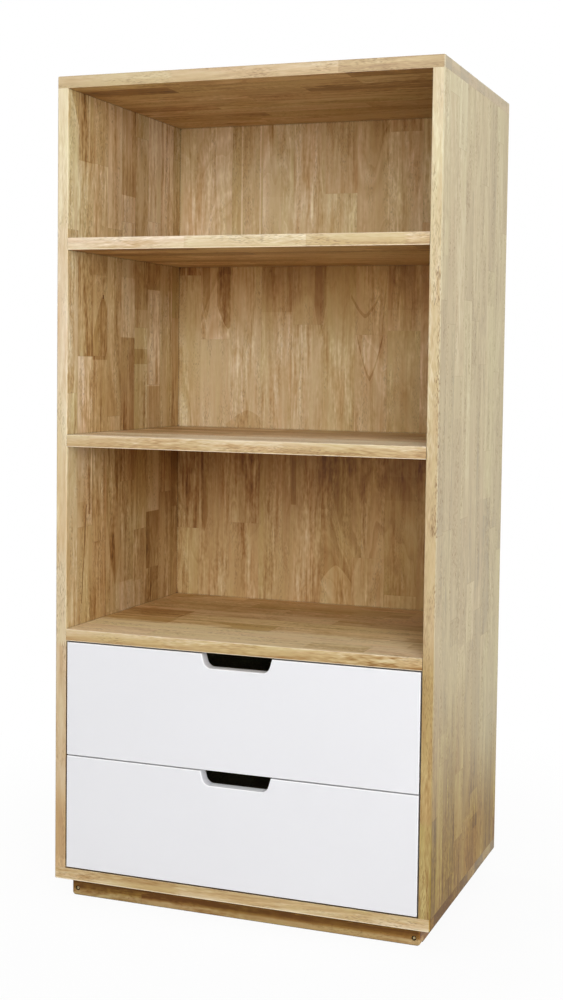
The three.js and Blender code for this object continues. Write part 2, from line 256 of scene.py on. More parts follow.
def stave_layout_group():
    tree, takes, gives = new_group(
        "stave_layout",
        {"Place": None, "Stave width": 0.048, "Stave length": 0.33, "Sway": 0.016},
        {"Chance": "Color", "Stave place": "Vector", "Joint": "Float"},
    )
    along, across, through = add_node(tree, "SeparateXYZ", {"Vector": takes["Place"]}).outputs
    sway = add_node(tree, "TexNoise", {"W": across, "Scale": sway_waves, "Detail": 0}, noise_dimensions="1D")
    swayed = calculate(tree, "MULTIPLY_ADD", sway.outputs["Fac"], takes["Sway"], across)
    lane_place = calculate(tree, "DIVIDE", swayed, takes["Stave width"])
    lane = calculate(tree, "FLOOR", lane_place)
    inside = shift_and_scale(tree, calculate(tree, "FRACT", lane_place), 0.5, takes["Stave width"])
    half_width = calculate(tree, "MULTIPLY", takes["Stave width"], 0.5)
    to_side = calculate(tree, "SUBTRACT", half_width, calculate(tree, "ABSOLUTE", inside))

    finger = calculate(tree, "PINGPONG", through, finger_half_pitch)
    run = calculate(tree, "MULTIPLY_ADD", finger, finger_slope, along)
    run = calculate(tree, "DIVIDE", run, takes["Stave length"])
    run = calculate(tree, "MULTIPLY_ADD", lane, lane_slide, run)
    feeds = {"W": run, "Scale": 1, "Randomness": length_randomness}
    stave = add_node(tree, "TexVoronoi", feeds, voronoi_dimensions="1D", feature="F1")
    edge = add_node(tree, "TexVoronoi", feeds, voronoi_dimensions="1D", feature="DISTANCE_TO_EDGE")
    to_end = calculate(tree, "MULTIPLY", edge.outputs["Distance"], takes["Stave length"])
    from_middle = shift_and_scale(tree, run, stave.outputs["W"], takes["Stave length"])

    joint = smooth_step(tree, calculate(tree, "MINIMUM", to_side, to_end), joint_core, joint_fade, 1.0, 0.0)
    local = add_node(tree, "CombineXYZ", {"X": from_middle, "Y": inside, "Z": through})
    wire(tree, gives, {
        "Chance": stave.outputs["Color"], "Stave place": local.outputs[0], "Joint": joint,
    })
    return tree


stave_layout = stave_layout_group()
print("stave layout:", len(stave_layout.nodes), "nodes")


# %% [markdown]
# ## Rubberwood, part two: the figure
#
# Inside one stave the grain comes from how the stave was sawn out of the trunk. Growth rings are tubes
# around the pith, so the distance from a pith line that lies beside or below the stave, and leans a little,
# gives straight stripes in one stave and pointed arches in the next. The chances of the stave decide where
# its pith lies and how bold its rings are. The grain also wanders sideways, and it carries fine fibres and
# streaks of two widths, all noise that is stretched along the grain. The pores are short dark dashes that
# show only in some zones. All of it is three-dimensional, so the edges of a board follow by themselves.

# %% Sizes of the grain
# Each noise has its waves per metre along and across the grain, its detail, and perhaps its roughness.
grain_noises = {
    "wander": (6, 24, 2), "fibre": (22, 400, 2, 0.65), "fleck": (95, 250, 1), "narrow streak": (10, 140, 2),
    "broad streak": (4, 42, 1), "liveliness": (5, 34, 1), "pore zone": (8, 60, 1), "pore": (200, 900, 0),
    "cast": (4, 18, 1),
}
sideways_wander, ring_wander = 0.010, 0.016
pith_aside_spread, pith_lean_spread = 0.09, 0.22
pith_least_depth, pith_depth_spread = 0.008, 0.05
ring_detail, ring_roughness = 2.0, 0.6
late_wood_rate, late_wood_width, late_wood_dark = 0.45, 0.22, 0.22
least_boldness, boldness_spread = 0.2, 1.3
fibre_weight, broad_streak_weight, cast_weight = 1.15, 1.1, 1.6
lively_where, lively_share = (0.36, 0.64), (0.4, 1.6)
pore_zone_where, pore_where = (0.48, 0.64), (0.55, 0.70)
noise_slide = 23.0
print(len(grain_noises), "noises in the grain")


# %% A node group for the grain inside one stave
def stretched_noise(tree, place, chance, along, across, detail, roughness=0.5):
    """Noise that is long in the grain's direction and starts elsewhere in each stave."""
    start = add_node(tree, "VectorMath", {0: chance, "Scale": noise_slide}, operation="SCALE").outputs[0]
    feeds = {0: place, 1: (along, across, across), 2: start}
    scaled = add_node(tree, "VectorMath", feeds, operation="MULTIPLY_ADD").outputs[0]
    noise = {"Vector": scaled, "Scale": 1.0, "Detail": detail, "Roughness": roughness}
    return add_node(tree, "TexNoise", noise, noise_dimensions="3D").outputs["Fac"]


def figure_group():
    tree, takes, gives = new_group(
        "wood_figure",
        {"Stave place": None, "Chance": None, "Ring spacing": 0.005, "Rings": 1.2, "Streaks": 1.8,
         "Flecks": 1.3},
        {"Figure": "Float", "Pores": "Float", "Cast": "Float"},
    )
    straight, chance = takes["Stave place"], takes["Chance"]

    def noise(name, place):
        return stretched_noise(tree, place, chance, *grain_noises[name])

    first, second, third = add_node(tree, "SeparateXYZ", {"Vector": chance}).outputs
    wander = noise("wander", straight)
    sideways = add_node(tree, "CombineXYZ", {"Y": shift_and_scale(tree, wander, 0.5, sideways_wander)})
    place = add_node(tree, "VectorMath", {0: straight, 1: sideways.outputs[0]}, operation="ADD").outputs[0]
    along, across, through = add_node(tree, "SeparateXYZ", {"Vector": place}).outputs

    pith_aside = shift_and_scale(tree, second, 0.5, pith_aside_spread)
    lean = shift_and_scale(tree, first, 0.5, pith_lean_spread)
    pith_depth = calculate(tree, "MULTIPLY_ADD", third, pith_depth_spread, pith_least_depth)
    depth = calculate(tree, "ADD", through, pith_depth)
    depth = calculate(tree, "MULTIPLY_ADD", along, lean, depth)
    aside = calculate(tree, "SUBTRACT", across, pith_aside)
    both = add_node(tree, "CombineXYZ", {"X": aside, "Y": depth}).outputs[0]
    radius = add_node(tree, "VectorMath", {0: both}, operation="LENGTH").outputs["Value"]
    radius = calculate(tree, "MULTIPLY_ADD", wander, ring_wander, radius)
    ring = calculate(tree, "ADD", calculate(tree, "DIVIDE", radius, takes["Ring spacing"]), third)
    feeds = {"W": ring, "Scale": 1.0, "Detail": ring_detail, "Roughness": ring_roughness}
    rings = add_node(tree, "TexNoise", feeds, noise_dimensions="1D").outputs["Fac"]
    late_wood = calculate(tree, "FRACT", calculate(tree, "MULTIPLY", ring, late_wood_rate))
    ring_line = smooth_step(tree, late_wood, 0.0, late_wood_width, 1.0, 0.0)
    another_chance = calculate(tree, "FRACT", calculate(tree, "MULTIPLY", second, 7.0))
    boldness = calculate(tree, "MULTIPLY_ADD", another_chance, boldness_spread, least_boldness)
    ringed = shift_and_scale(tree, rings, 0.5, takes["Rings"])
    ringed = calculate(tree, "MULTIPLY_ADD", ring_line, -late_wood_dark, ringed)
    ringed = calculate(tree, "MULTIPLY", ringed, boldness)

    narrow_streak = noise("narrow streak", place)
    lively = smooth_step(tree, noise("liveliness", straight), *lively_where, *lively_share)
    fibres = shift_and_scale(tree, noise("fibre", place), 0.52, fibre_weight)
    flecks = shift_and_scale(tree, noise("fleck", place), 0.5, takes["Flecks"])
    streaks = shift_and_scale(tree, narrow_streak, 0.52, takes["Streaks"])
    fine = calculate(tree, "ADD", calculate(tree, "ADD", fibres, flecks), streaks)
    figure = calculate(tree, "MULTIPLY_ADD", fine, lively, ringed)
    broad_streaks = shift_and_scale(tree, noise("broad streak", place), 0.5, broad_streak_weight)
    figure = calculate(tree, "ADD", figure, broad_streaks)

    zones = smooth_step(tree, noise("pore zone", place), *pore_zone_where)
    dashes = smooth_step(tree, noise("pore", place), *pore_where)
    broad_cast = shift_and_scale(tree, noise("cast", straight), 0.54, cast_weight)
    cast = calculate(tree, "ADD", broad_cast, shift_and_scale(tree, narrow_streak, 0.5, -cast_weight))
    wire(tree, gives, {
        "Figure": figure, "Pores": calculate(tree, "MULTIPLY", dashes, zones), "Cast": cast,
    })
    return tree


wood_figure = figure_group()
print("figure:", len(wood_figure.nodes), "nodes")


# %% [markdown]
# ## Narrow gaps
#
# Around a drawer front, and at the seams between boards, the real piece shows fine dark lines, because little
# light gets in there. The Ambient Occlusion node measures how closed a point is by its neighbours within a
# few millimetres, so a finish can darken just those places with a painted shade.

# %% A measure of how deep in a gap a point lies
gap_reach = 4 * MM
gap_samples = 4


def in_gap(tree, dark_below, clear_above, reach=gap_reach):
    closeness = add_node(tree, "AmbientOcclusion", {"Distance": reach}, samples=gap_samples)
    return smooth_step(tree, closeness.outputs["AO"], dark_below, clear_above, 1.0, 0.0)


# %% [markdown]
# ## Rubberwood, part three: colour and finish
#
# Rubberwood runs from cream through honey to a reddish tan, and most of its variation lies on that one line.
# So the stave's chance and the figure are added to one tone, and a colour ramp turns the tone into wood.
# Some staves lean towards pink or olive, and within a stave there are rosy zones. A pale grey can be mixed
# in, which on the outer faces of the right side is a painted sheen, and wood in the shade of a bay gets a
# deeper amber, a painted shade. The boards carry a clear satin lacquer: a middling roughness with a thin,
# smoother coat, and the pores as shallow bumps under it. Some arrises carry a paler line, a painted
# highlight, and others a darker one, a painted shade. The mesh itself marks those faces with an attribute.

# %% A node group that turns tone into wood
wood_tones = {
    0.0: linear(105, 70, 34), 0.25: linear(158, 122, 74), 0.5: linear(195, 168, 122),
    0.75: linear(218, 200, 166), 1.0: linear(248, 238, 218),
}
# A pale grey; on the outer faces of the right side it is a painted sheen, seen at a grazing angle.
pale_grey = linear(200, 192, 166)
# A deeper amber, multiplied in where wood lies in shade: a painted shade.
amber = linear(255, 230, 188)
rose = linear(255, 236, 224)
pink = linear(255, 243, 241)
olive = linear(246, 252, 230)
moss = linear(222, 252, 200)
# A paler line on marked arrises: a painted highlight.
arris_highlight = linear(250, 234, 205)
# A dark brown on marked arrises and seams: a painted shade.
arris_shade = linear(70, 45, 22)
pore_brown = linear(104, 66, 34)
# The brown of the painted shade in narrow gaps.
gap_shade = linear(48, 32, 20)
plain_wood = {
    "Stave width": 0.048, "Stave length": 0.33, "Sway": 0.016, "Tone": 0.5, "Spread": 0.34,
    "Named share": 0.0, "Named tone": 0.0, "Paleness": 0.0, "Amber": 0.0, "Figure": 0.3,
    "Ring spacing": 0.005, "Rings": 1.2, "Streaks": 1.8, "Flecks": 1.3, "Greenness": 0.0, "Pores": 0.45,
    "Joint": 0.2,
}
stave_bias, stave_centre = 0.75, 0.6
pink_above, pink_share = 0.6, 0.3
olive_below, olive_share = 0.4, 0.4
arris_share = 0.8
wood_gap, wood_gap_share = (0.25, 0.75), 0.8
satin_roughness, line_roughness = 0.5, 0.3
figure_height = 0.12


def mix(tree, share, first, second, **settings):
    feeds = {"Factor": share, "A": first, "B": second}
    return add_node(tree, "Mix", feeds, data_type="RGBA", **settings).outputs["Result"]


def tone_group():
    results = {"Color": "Color", "Roughness": "Float", "Height": "Float"}
    tree, takes, gives = new_group("rubberwood", {"Place": None, **plain_wood}, results)
    layout_feeds = {socket: takes[socket] for socket in ("Place", "Stave width", "Stave length", "Sway")}
    layout = add_node(tree, "Group", layout_feeds, node_tree=stave_layout)
    chance = layout.outputs["Chance"]
    figure = add_node(tree, "Group", {
        "Stave place": layout.outputs["Stave place"], "Chance": chance,
        **{socket: takes[socket] for socket in ("Ring spacing", "Rings", "Streaks", "Flecks")},
    }, node_tree=wood_figure)

    first, second, third = add_node(tree, "SeparateColor", {"Color": chance}).outputs[:3]
    stave_tone = calculate(tree, "POWER", second, stave_bias)
    stave_tone = shift_and_scale(tree, stave_tone, stave_centre, takes["Spread"])
    unnamed = calculate(tree, "MAXIMUM", calculate(tree, "SUBTRACT", 1.0, takes["Named share"]), 0.0)
    stave_tone = calculate(tree, "MULTIPLY_ADD", stave_tone, unnamed, takes["Named tone"])
    tone = calculate(tree, "ADD", takes["Tone"], stave_tone)
    tone = calculate(tree, "MULTIPLY_ADD", figure.outputs["Figure"], takes["Figure"], tone)
    ramp = add_node(tree, "ValToRGB", {"Fac": tone})
    elements = ramp.color_ramp.elements
    for position in list(wood_tones)[1:-1]:
        elements.new(position)
    for element, (position, colour) in zip(elements, wood_tones.items()):
        element.position, element.color = position, colour

    colour = ramp.outputs["Color"]
    rosiness = figure.outputs["Cast"]
    for share, cast in (
        (smooth_step(tree, third, pink_above, 1.0, 0.0, pink_share), pink),
        (smooth_step(tree, third, olive_below, 0.0, 0.0, olive_share), olive),
        (rosiness, rose),
        (calculate(tree, "MULTIPLY", rosiness, -1.0), olive),
        (takes["Greenness"], moss),
        (calculate(tree, "MULTIPLY", takes["Greenness"], -1.0), pink),
        (takes["Amber"], amber),
    ):
        colour = mix(tree, share, colour, cast, blend_type="MULTIPLY")
    colour = mix(tree, takes["Paleness"], colour, pale_grey)
    # Marked arrises get a painted highlight, and a painted shade where the mark is negative.
    on_arris = add_node(tree, "Attribute", attribute_name="arris").outputs["Fac"]
    colour = mix(tree, smooth_step(tree, on_arris, 0.0, 1.0, 0.0, arris_share), colour, arris_highlight)
    colour = mix(tree, smooth_step(tree, on_arris, 0.0, -1.0, 0.0, arris_share), colour, arris_shade)
    pores = calculate(tree, "MULTIPLY", figure.outputs["Pores"], takes["Pores"])
    joint = calculate(tree, "MULTIPLY", layout.outputs["Joint"], takes["Joint"])
    dark_line = calculate(tree, "MAXIMUM", pores, joint)
    colour = mix(tree, dark_line, colour, pore_brown)
    # A painted shade where the Ambient Occlusion node finds a narrow gap.
    shaded = calculate(tree, "MULTIPLY", in_gap(tree, *wood_gap), wood_gap_share)
    colour = mix(tree, shaded, colour, gap_shade)

    roughness = calculate(tree, "MULTIPLY_ADD", dark_line, line_roughness, satin_roughness)
    height = calculate(tree, "MULTIPLY", dark_line, -1.0)
    height = calculate(tree, "MULTIPLY_ADD", figure.outputs["Figure"], figure_height, height)
    wire(tree, gives, {"Color": colour, "Roughness": roughness, "Height": height})
    return tree


rubberwood = tone_group()
print("tone:", len(rubberwood.nodes), "nodes")

# %% [markdown]
# ## Rubberwood, part four: one material for each board
#
# Every board gets its own material, turned so that the staves run along the board and slid to wood that no
# other board uses. A setting may be graded along the board, given as a few places and what it is there, and
# most such grades are a painted shade: darker and more amber where the board lies in shade. A face may
# differ from the rest of its board, as a front edge does, which is paler and less amber than the shaded
# faces behind it, partly painted light. And the staves that stand out in the photograph are named: each is
# a patch of a lane with its own tone, and one of them ends in the pointed arch of a knot's rings.

# %% A material for one board
AXES = {"X": Vector((1, 0, 0)), "Y": Vector((0, 1, 0)), "Z": Vector((0, 0, 1))}
patch_edge = 0.6 * MM
arch_power = 1.4
# Wood shut inside a drawer gets a painted shade, the darker the more it is closed in.
drawer_reach, shut_range = 400 * MM, (0.04, 0.25)
shut_dark = linear(22, 16, 10)
wood_bump, wood_bump_height = 0.35, 0.15 * MM
wood_coat, wood_coat_roughness = 0.04, 0.3
wood_sheen = 0.35


def new_material(name):
    material = bpy.data.materials.new(name)
    material.use_nodes = True
    material.node_tree.nodes.clear()
    return material, material.node_tree


def inside_range(tree, value, low, high):
    above = smooth_step(tree, value, low - patch_edge, low + patch_edge)
    below = smooth_step(tree, value, high - patch_edge, high + patch_edge, 1.0, 0.0)
    return calculate(tree, "MULTIPLY", above, below)


def stave(lane, ends, tone, **bends):
    """A named stave: the borders of its lane, its two ends, its tone, and bends as named_stave takes them."""
    return lane, ends, tone, bends


def named_stave(tree, across, up, lane, ends, low_arch=0.0, high_arch=0.0, peak=None, low_tilt=0.0,
                lean=0.0):
    """1 on the stave. An arch is how far that end is drawn up at the lane's farther side, seen from the peak,
    which is the lane's middle unless it is given. low_tilt is how much the lower end climbs over the same way
    in a straight line, and lean is how far the lane moves aside for each metre up from its lower end."""
    if lean:
        across = calculate(tree, "MULTIPLY_ADD", shift_and_scale(tree, up, ends[0], 1.0), -lean, across)
    low, high = up, up
    if low_arch or high_arch or low_tilt:
        peak = (lane[0] + lane[1]) / 2 if peak is None else peak
        aside = shift_and_scale(tree, across, peak, 1 / max(peak - lane[0], lane[1] - peak))
        bow = calculate(tree, "POWER", calculate(tree, "ABSOLUTE", aside), arch_power)
        low = calculate(tree, "MULTIPLY_ADD", bow, -low_arch, up)
        low = calculate(tree, "MULTIPLY_ADD", aside, -low_tilt, low)
        high = calculate(tree, "MULTIPLY_ADD", bow, -high_arch, up)
    above = smooth_step(tree, low, ends[0] - patch_edge, ends[0] + patch_edge)
    below = smooth_step(tree, high, ends[1] - patch_edge, ends[1] + patch_edge, 1.0, 0.0)
    between_ends = calculate(tree, "MULTIPLY", above, below)
    return calculate(tree, "MULTIPLY", inside_range(tree, across, *lane), between_ends)


def graded(tree, value, stops):
    """Follows the stops, which map a place along the axis to the amount there."""
    low, high = min(stops), max(stops)
    ramp = add_node(tree, "ValToRGB", {"Fac": shift_and_scale(tree, value, low, 1 / (high - low))})
    elements = ramp.color_ramp.elements
    for place in list(stops)[1:-1]:
        elements.new((place - low) / (high - low))
    for element, (place, amount) in zip(elements, stops.items()):
        element.position, element.color = (place - low) / (high - low), (amount, amount, amount, 1)
    return ramp.outputs["Color"]


def board_wood(name, along, across, start, staves=(), staves_on=(), faces=(), shut_in=0.0,
               sheen=wood_sheen, **settings):
    """Staves that run along one axis and lie side by side across another. start slides the pattern, so that
    each board is sawn from other wood. faces hold one or more (axis, from, to) and then the changes of
    settings that take hold over those ways, and staves_on holds the ways to where the named staves show.
    shut_in darkens wood in a closed drawer, and sheen is how much the lacquer mirrors. A setting or a change
    is a number, or a dict that grades it over the height."""
    material, tree = new_material(name)
    rows = (AXES[along], AXES[across], AXES[along].cross(AXES[across]))
    place = add_node(tree, "TexCoord").outputs["Object"]
    feeds = {"Vector": place, "Location": start, "Rotation": Matrix(rows).to_euler()}
    mapped = add_node(tree, "Mapping", feeds).outputs[0]
    parts = add_node(tree, "SeparateXYZ", {"Vector": place}).outputs

    def over_height(value):
        return graded(tree, parts["Z"], value) if isinstance(value, dict) else value

    def where(ways):
        there = 1.0
        for axis, begin, end in ways:
            there = calculate(tree, "MULTIPLY", smooth_step(tree, parts[axis], begin, end), there)
        return there

    feeds = dict(plain_wood)
    for setting, value in settings.items():
        feeds[setting.replace("_", " ").capitalize()] = over_height(value)
    for *ways, changes in faces:
        on_face = where(ways)
        for setting, change in changes.items():
            socket = setting.capitalize()
            feeds[socket] = calculate(tree, "MULTIPLY_ADD", on_face, over_height(change), feeds[socket])
    share = named_tone = 0.0
    for lane, ends, stave_tone, bends in staves:
        on_stave = named_stave(tree, parts[across], parts[along], lane, ends, **bends)
        share = calculate(tree, "ADD", share, on_stave)
        named_tone = calculate(tree, "MULTIPLY_ADD", on_stave, stave_tone, named_tone)
    if staves_on:
        shown = where(staves_on)
        share, named_tone = (calculate(tree, "MULTIPLY", shown, value) for value in (share, named_tone))
    feeds |= {"Place": mapped, "Named share": share, "Named tone": named_tone}
    wood = add_node(tree, "Group", feeds, node_tree=rubberwood)
    colour = wood.outputs["Color"]
    # Inside a closed drawer the wood gets a painted shade.
    if shut_in:
        enclosed = calculate(tree, "MULTIPLY", in_gap(tree, *shut_range, drawer_reach), shut_in)
        colour = mix(tree, enclosed, colour, shut_dark)
    bump = add_node(tree, "Bump", {
        "Height": wood.outputs["Height"], "Strength": wood_bump, "Distance": wood_bump_height,
    })
    shader = add_node(tree, "BsdfPrincipled", {
        "Base Color": colour, "Roughness": wood.outputs["Roughness"], "Normal": bump.outputs["Normal"],
        "Specular IOR Level": sheen, "Coat Weight": wood_coat, "Coat Roughness": wood_coat_roughness,
    })
    add_node(tree, "OutputMaterial", {"Surface": shader.outputs[0]})
    return material


# %% [markdown]
# ## Pieces from bmesh
#
# Every board starts as a cube that is scaled to the box of its CAD node, or as an outline that is extruded.
# What makes it look like timber is the eased arris: no joiner leaves a sharp edge, and the narrow rounded
# band catches the light as a thin bright line, on many arrises helped by a painted highlight. Bevelling in
# bmesh lets each edge have its own width, so an edge that meets another board stays nearly sharp.

# %% Helpers for boards
CLOSE = 0.01 * MM
flat_enough = 0.999
arris = 1.5 * MM
outer_arris = 2.0 * MM
joint_arris = 0.4 * MM
shelf_arris = 1.1 * MM


def new_shape():
    """An empty bmesh whose faces can be marked for a painted highlight or a painted shade on an arris."""
    bm = bmesh.new()
    bm.faces.layers.float.new("arris")
    return bm


def only(kind, made):
    """The vertices, the edges or the faces among all that an operator made."""
    return [item for item in made if isinstance(item, kind)]


def closed_loop(bm, points):
    """A closed line through the points: its vertices and its edges."""
    verts = [bm.verts.new(point) for point in points]
    return verts, [bm.edges.new(pair) for pair in zip(verts, verts[1:] + verts[:1])]


def box_mesh(low, high):
    bm = new_shape()
    bmesh.ops.create_cube(bm, size=1)
    bmesh.ops.scale(bm, vec=high - low, verts=bm.verts)
    bmesh.ops.translate(bm, vec=(low + high) / 2, verts=bm.verts)
    return bm


def extruded_outline(points, reach):
    """A closed solid: the flat outline through the points, drawn out by the vector reach."""
    bm = new_shape()
    face = bm.faces.new([bm.verts.new(point) for point in points])
    drawn = bmesh.ops.extrude_face_region(bm, geom=[face])["geom"]
    bmesh.ops.translate(bm, vec=reach, verts=only(bmesh.types.BMVert, drawn))
    bmesh.ops.recalc_face_normals(bm, faces=bm.faces)
    return bm


def edges_at(bm, **places):
    """The edges whose two ends both lie at the given x, y or z."""
    def lies_there(vert):
        return all(abs(getattr(vert.co, axis) - place) < CLOSE for axis, place in places.items())

    return [edge for edge in bm.edges if all(lies_there(vert) for vert in edge.verts)]


def ease(bm, edges, width, segments=3, mark=0.0):
    """Rounds the edges. mark is how strong a painted highlight the arris gets, or if it is negative, how
    strong a painted shade.
    """
    made = bmesh.ops.bevel(bm, geom=list(set(edges)), offset=width, offset_type="OFFSET", affect="EDGES",
                           segments=segments, profile=0.5, material=-1, clamp_overlap=True)
    arris_mark = bm.faces.layers.float["arris"]
    for face in made["faces"]:
        face[arris_mark] = mark


def mark_arris(bm, mark, near, **places):
    """Marks the arris faces that lie near the given x, y or z."""
    arris_mark = bm.faces.layers.float["arris"]
    for face in bm.faces:
        middle = face.calc_center_median()
        tilted = max(abs(part) for part in face.normal) < flat_enough
        if tilted and all(abs(getattr(middle, axis) - place) < near for axis, place in places.items()):
            face[arris_mark] = mark


def finish_piece(bm, name, material, body, replaced=(), smooth_below=None, second=None):
    """Turns the bmesh into a scene object. smooth_below is the angle under which faces shade as one curve,
    second the material of the faces that are marked for it."""
    open_edges = sum(1 for edge in bm.edges if not edge.is_manifold)
    if smooth_below is not None:
        for face in bm.faces:
            face.smooth = True
        for edge in bm.edges:
            edge.smooth = edge.calc_face_angle(math.pi) < math.radians(smooth_below)
    mesh = bpy.data.meshes.new(name)
    bm.to_mesh(mesh)
    bm.free()
    mesh.materials.append(material)
    if second:
        mesh.materials.append(second)
    piece = bpy.data.objects.new(name, mesh)
    scene.collection.objects.link(piece)
    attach(piece, body)
    if replaced:
        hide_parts(*replaced)
    print(f"{name}: {len(mesh.polygons)} faces, {open_edges} open edges")
    return piece


# %% [markdown]
# ## Side boards
#
# The sides stand between the top and the bottom board. Their rear inner edge has a rabbet, a step that the
# thin back panel lies in. A step that runs the whole length is simplest as an outline: six corners, drawn
# up from the bottom board to the top board. The staves run upright and there are about eight of them.

# %% Two side boards with their rabbet
panel_clearance = 0.3 * MM
back_low, back_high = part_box("back_panel")
carcass_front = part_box("bottom_panel")[0].y
carcass_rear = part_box("bottom_panel")[1].y
rabbet_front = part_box("upper_shelf")[1].y
rabbet_reach = back_high.x + panel_clearance

side_lane = 0.0465
rear_lane_edge = 0.162
side_lanes = [rear_lane_edge - step * side_lane for step in range(9)]
front_plane = carcass_front + 1 * MM
edge_plane = carcass_front + 0.4 * MM


def lane_stave(lane, ends, tone, **bends):
    return stave((side_lanes[lane + 1], side_lanes[lane]), ends, tone, **bends)


left_staves = (
    stave((-0.189, -0.142), (1.186, 1.24), -0.2, low_tilt=-0.054),
    stave((-0.133, -0.128), (1.132, 1.24), 0.12),
    stave((-0.142, -0.135), (1.132, 1.24), -0.06),
    lane_stave(6, (1.010, 1.130), 0.06),
    lane_stave(5, (1.165, 1.24), -0.12, low_arch=0.01),
    lane_stave(4, (1.128, 1.24), 0.0),
    lane_stave(3, (1.094, 1.24), -0.24),
    lane_stave(1, (1.010, 1.24), 0.06),
    lane_stave(5, (0.960, 1.0), -0.14),
    lane_stave(5, (0.827, 0.960), -0.05),
    lane_stave(5, (0.828, 0.928), -0.2, high_arch=-0.066, peak=-0.084),
    stave((-0.086, -0.082), (0.924, 0.930), -0.5),
    lane_stave(5, (0.700, 0.827), -0.03),
    lane_stave(3, (0.962, 1.0), -0.06),
    lane_stave(3, (0.865, 0.962), 0.04),
    lane_stave(3, (0.700, 0.865), -0.26),
    lane_stave(2, (0.912, 1.0), -0.18),
    lane_stave(2, (0.822, 0.847), -0.14),
    lane_stave(1, (0.947, 1.0), -0.2),
    lane_stave(1, (0.785, 0.947), 0.14),
    lane_stave(1, (0.700, 0.785), -0.08),
    stave((-0.178, -0.1495), (0.418, 0.608), 0.04, lean=0.088),
    stave((-0.1495, -0.147), (0.450, 0.603), -0.36, lean=0.088),
    stave((-0.1275, -0.1215), (0.587, 0.7), -0.24),
    lane_stave(5, (0.418, 0.7), 0.0),
    lane_stave(4, (0.465, 0.7), -0.12, low_arch=0.12, peak=-0.04),
    lane_stave(3, (0.466, 0.7), -0.12),
    stave((-0.070, 0.050), (0.418, 0.462), 0.06),
    lane_stave(1, (0.418, 0.573), -0.28),
    stave((0.162, 0.195), (0.70, 1.3), -0.2),
    stave((0.162, 0.195), (0.0, 0.70), -0.28),
)
right_staves = (
    lane_stave(2, (1.04, 1.13), -0.08),
    stave((-0.176, -0.163), (0.785, 0.979), -0.12),
    lane_stave(2, (0.487, 0.622), -0.12),
    lane_stave(4, (0.122, 0.410), 0.11),
    lane_stave(3, (0.140, 0.410), 0.0),
    lane_stave(2, (0.128, 0.168), 0.1),
    stave((-0.172, -0.137), (0.048, 0.30), 0.1),
    lane_stave(5, (0.42, 0.75), -0.08),
    lane_stave(1, (0.62, 0.92), 0.1),
)
side_settings = {"stave_width": side_lane, "sway": 0.0}
side_start = 4 * side_lane - rear_lane_edge
front_face = ("Y", front_plane, edge_plane)
right_end = ("X", 0.2975, 0.2995)
left_inside = ("X", -0.292, -0.290)
# The outer front arris of a side gets a painted shade that keeps it no brighter than the face, and the inner
# front arris a faint painted highlight.
outer_arris_shade_mark, inner_arris_highlight_mark = -0.25, 0.1
# On the left side's inner face, the zones at the top of the lower and middle bays are darker and more amber:
# a painted shade under the shelf.
left_wall = (
    (("Y", -0.13, -0.16), {"amber": -0.12}),
    (("Y", -0.09, -0.06), ("Y", 0.03, 0.0), {"tone": 0.09}),
    (("Y", -0.05, 0.0), ("Z", 1.14, 1.19), {"tone": 0.1}),
    (("Y", -0.05, 0.0), ("Z", 0.54, 0.46), {"tone": 0.08}),
    (("Y", -0.0, -0.03), ("Z", 0.79, 0.82), ("Z", 0.93, 0.9), {"tone": 0.06}),
    (("Y", 0.05, 0.13), {"tone": 0.08}),
    (("Y", -0.17, -0.09), ("Y", 0.0, -0.06), {"tone": -0.03, "amber": 0.2}),
    (("Y", -0.09, 0.05), ("Z", 0.55, 0.66), ("Z", 0.71, 0.70), {"tone": -0.22, "amber": 0.4}),
    (("Y", -0.02, 0.06), ("Z", 0.92, 0.97), ("Z", 1.0, 0.99), {"tone": -0.06, "amber": 0.3}),
)
left_faces = (
    (front_face, {"tone": 0.12, "figure": -0.15, "spread": -0.2, "amber": -0.4, "paleness": 0.15,
                  "greenness": -0.6}),
    (front_face, ("Z", 0.85, 0.6), {"tone": -0.05, "amber": 0.3}),
    (front_face, ("Z", 0.56, 0.50), {"tone": 0.08, "amber": -0.2, "paleness": 0.1}),
    (front_face, ("Z", 0.2, 0.12), {"tone": -0.2, "amber": 0.4, "paleness": -0.1}),
    *((left_inside, *zone) for zone in left_wall),
)
# On the right side's outer face the pale grey is a painted sheen, seen at a grazing angle, and the lower part
# is darker, greener and more amber, a painted shade.
right_faces = (
    (front_face, {"tone": 0.18, "figure": -0.08, "spread": -0.2, "paleness": 0.25}),
    (front_face, ("Z", 0.99, 0.93), ("Z", 0.40, 0.46), {"flecks": 2.0, "pores": 0.3}),
    (front_face, ("Z", 0.46, 0.38), {"tone": -0.03, "amber": 0.18, "paleness": -0.2, "greenness": 0.25}),
    (right_end, {"paleness": 0.55, "tone": 0.02, "greenness": 0.12}),
    (right_end, ("Y", 0.05, 0.15), {"greenness": 0.15}),
    (right_end, ("Z", 0.46, 0.22), {"figure": -0.08, "spread": -0.2}),
    (right_end, ("Z", 0.42, 0.20), ("Y", 0.14, -0.08),
     {"tone": -0.09, "paleness": -0.3, "greenness": 0.2, "amber": 0.3}),
    (right_end, ("Z", 0.46, 0.26), {"greenness": 0.15}),
    (right_end, ("Z", 0.28, 0.08), {"tone": -0.01, "paleness": -0.25, "greenness": 0.2, "amber": 0.25}),
    (right_end, ("Z", 0.28, 0.08), ("Y", -0.14, -0.08), {"tone": 0.05}),
    (right_end, ("Z", 0.28, 0.08), ("Y", -0.04, 0.06), {"tone": -0.1, "amber": 0.4, "paleness": -0.25}),
)
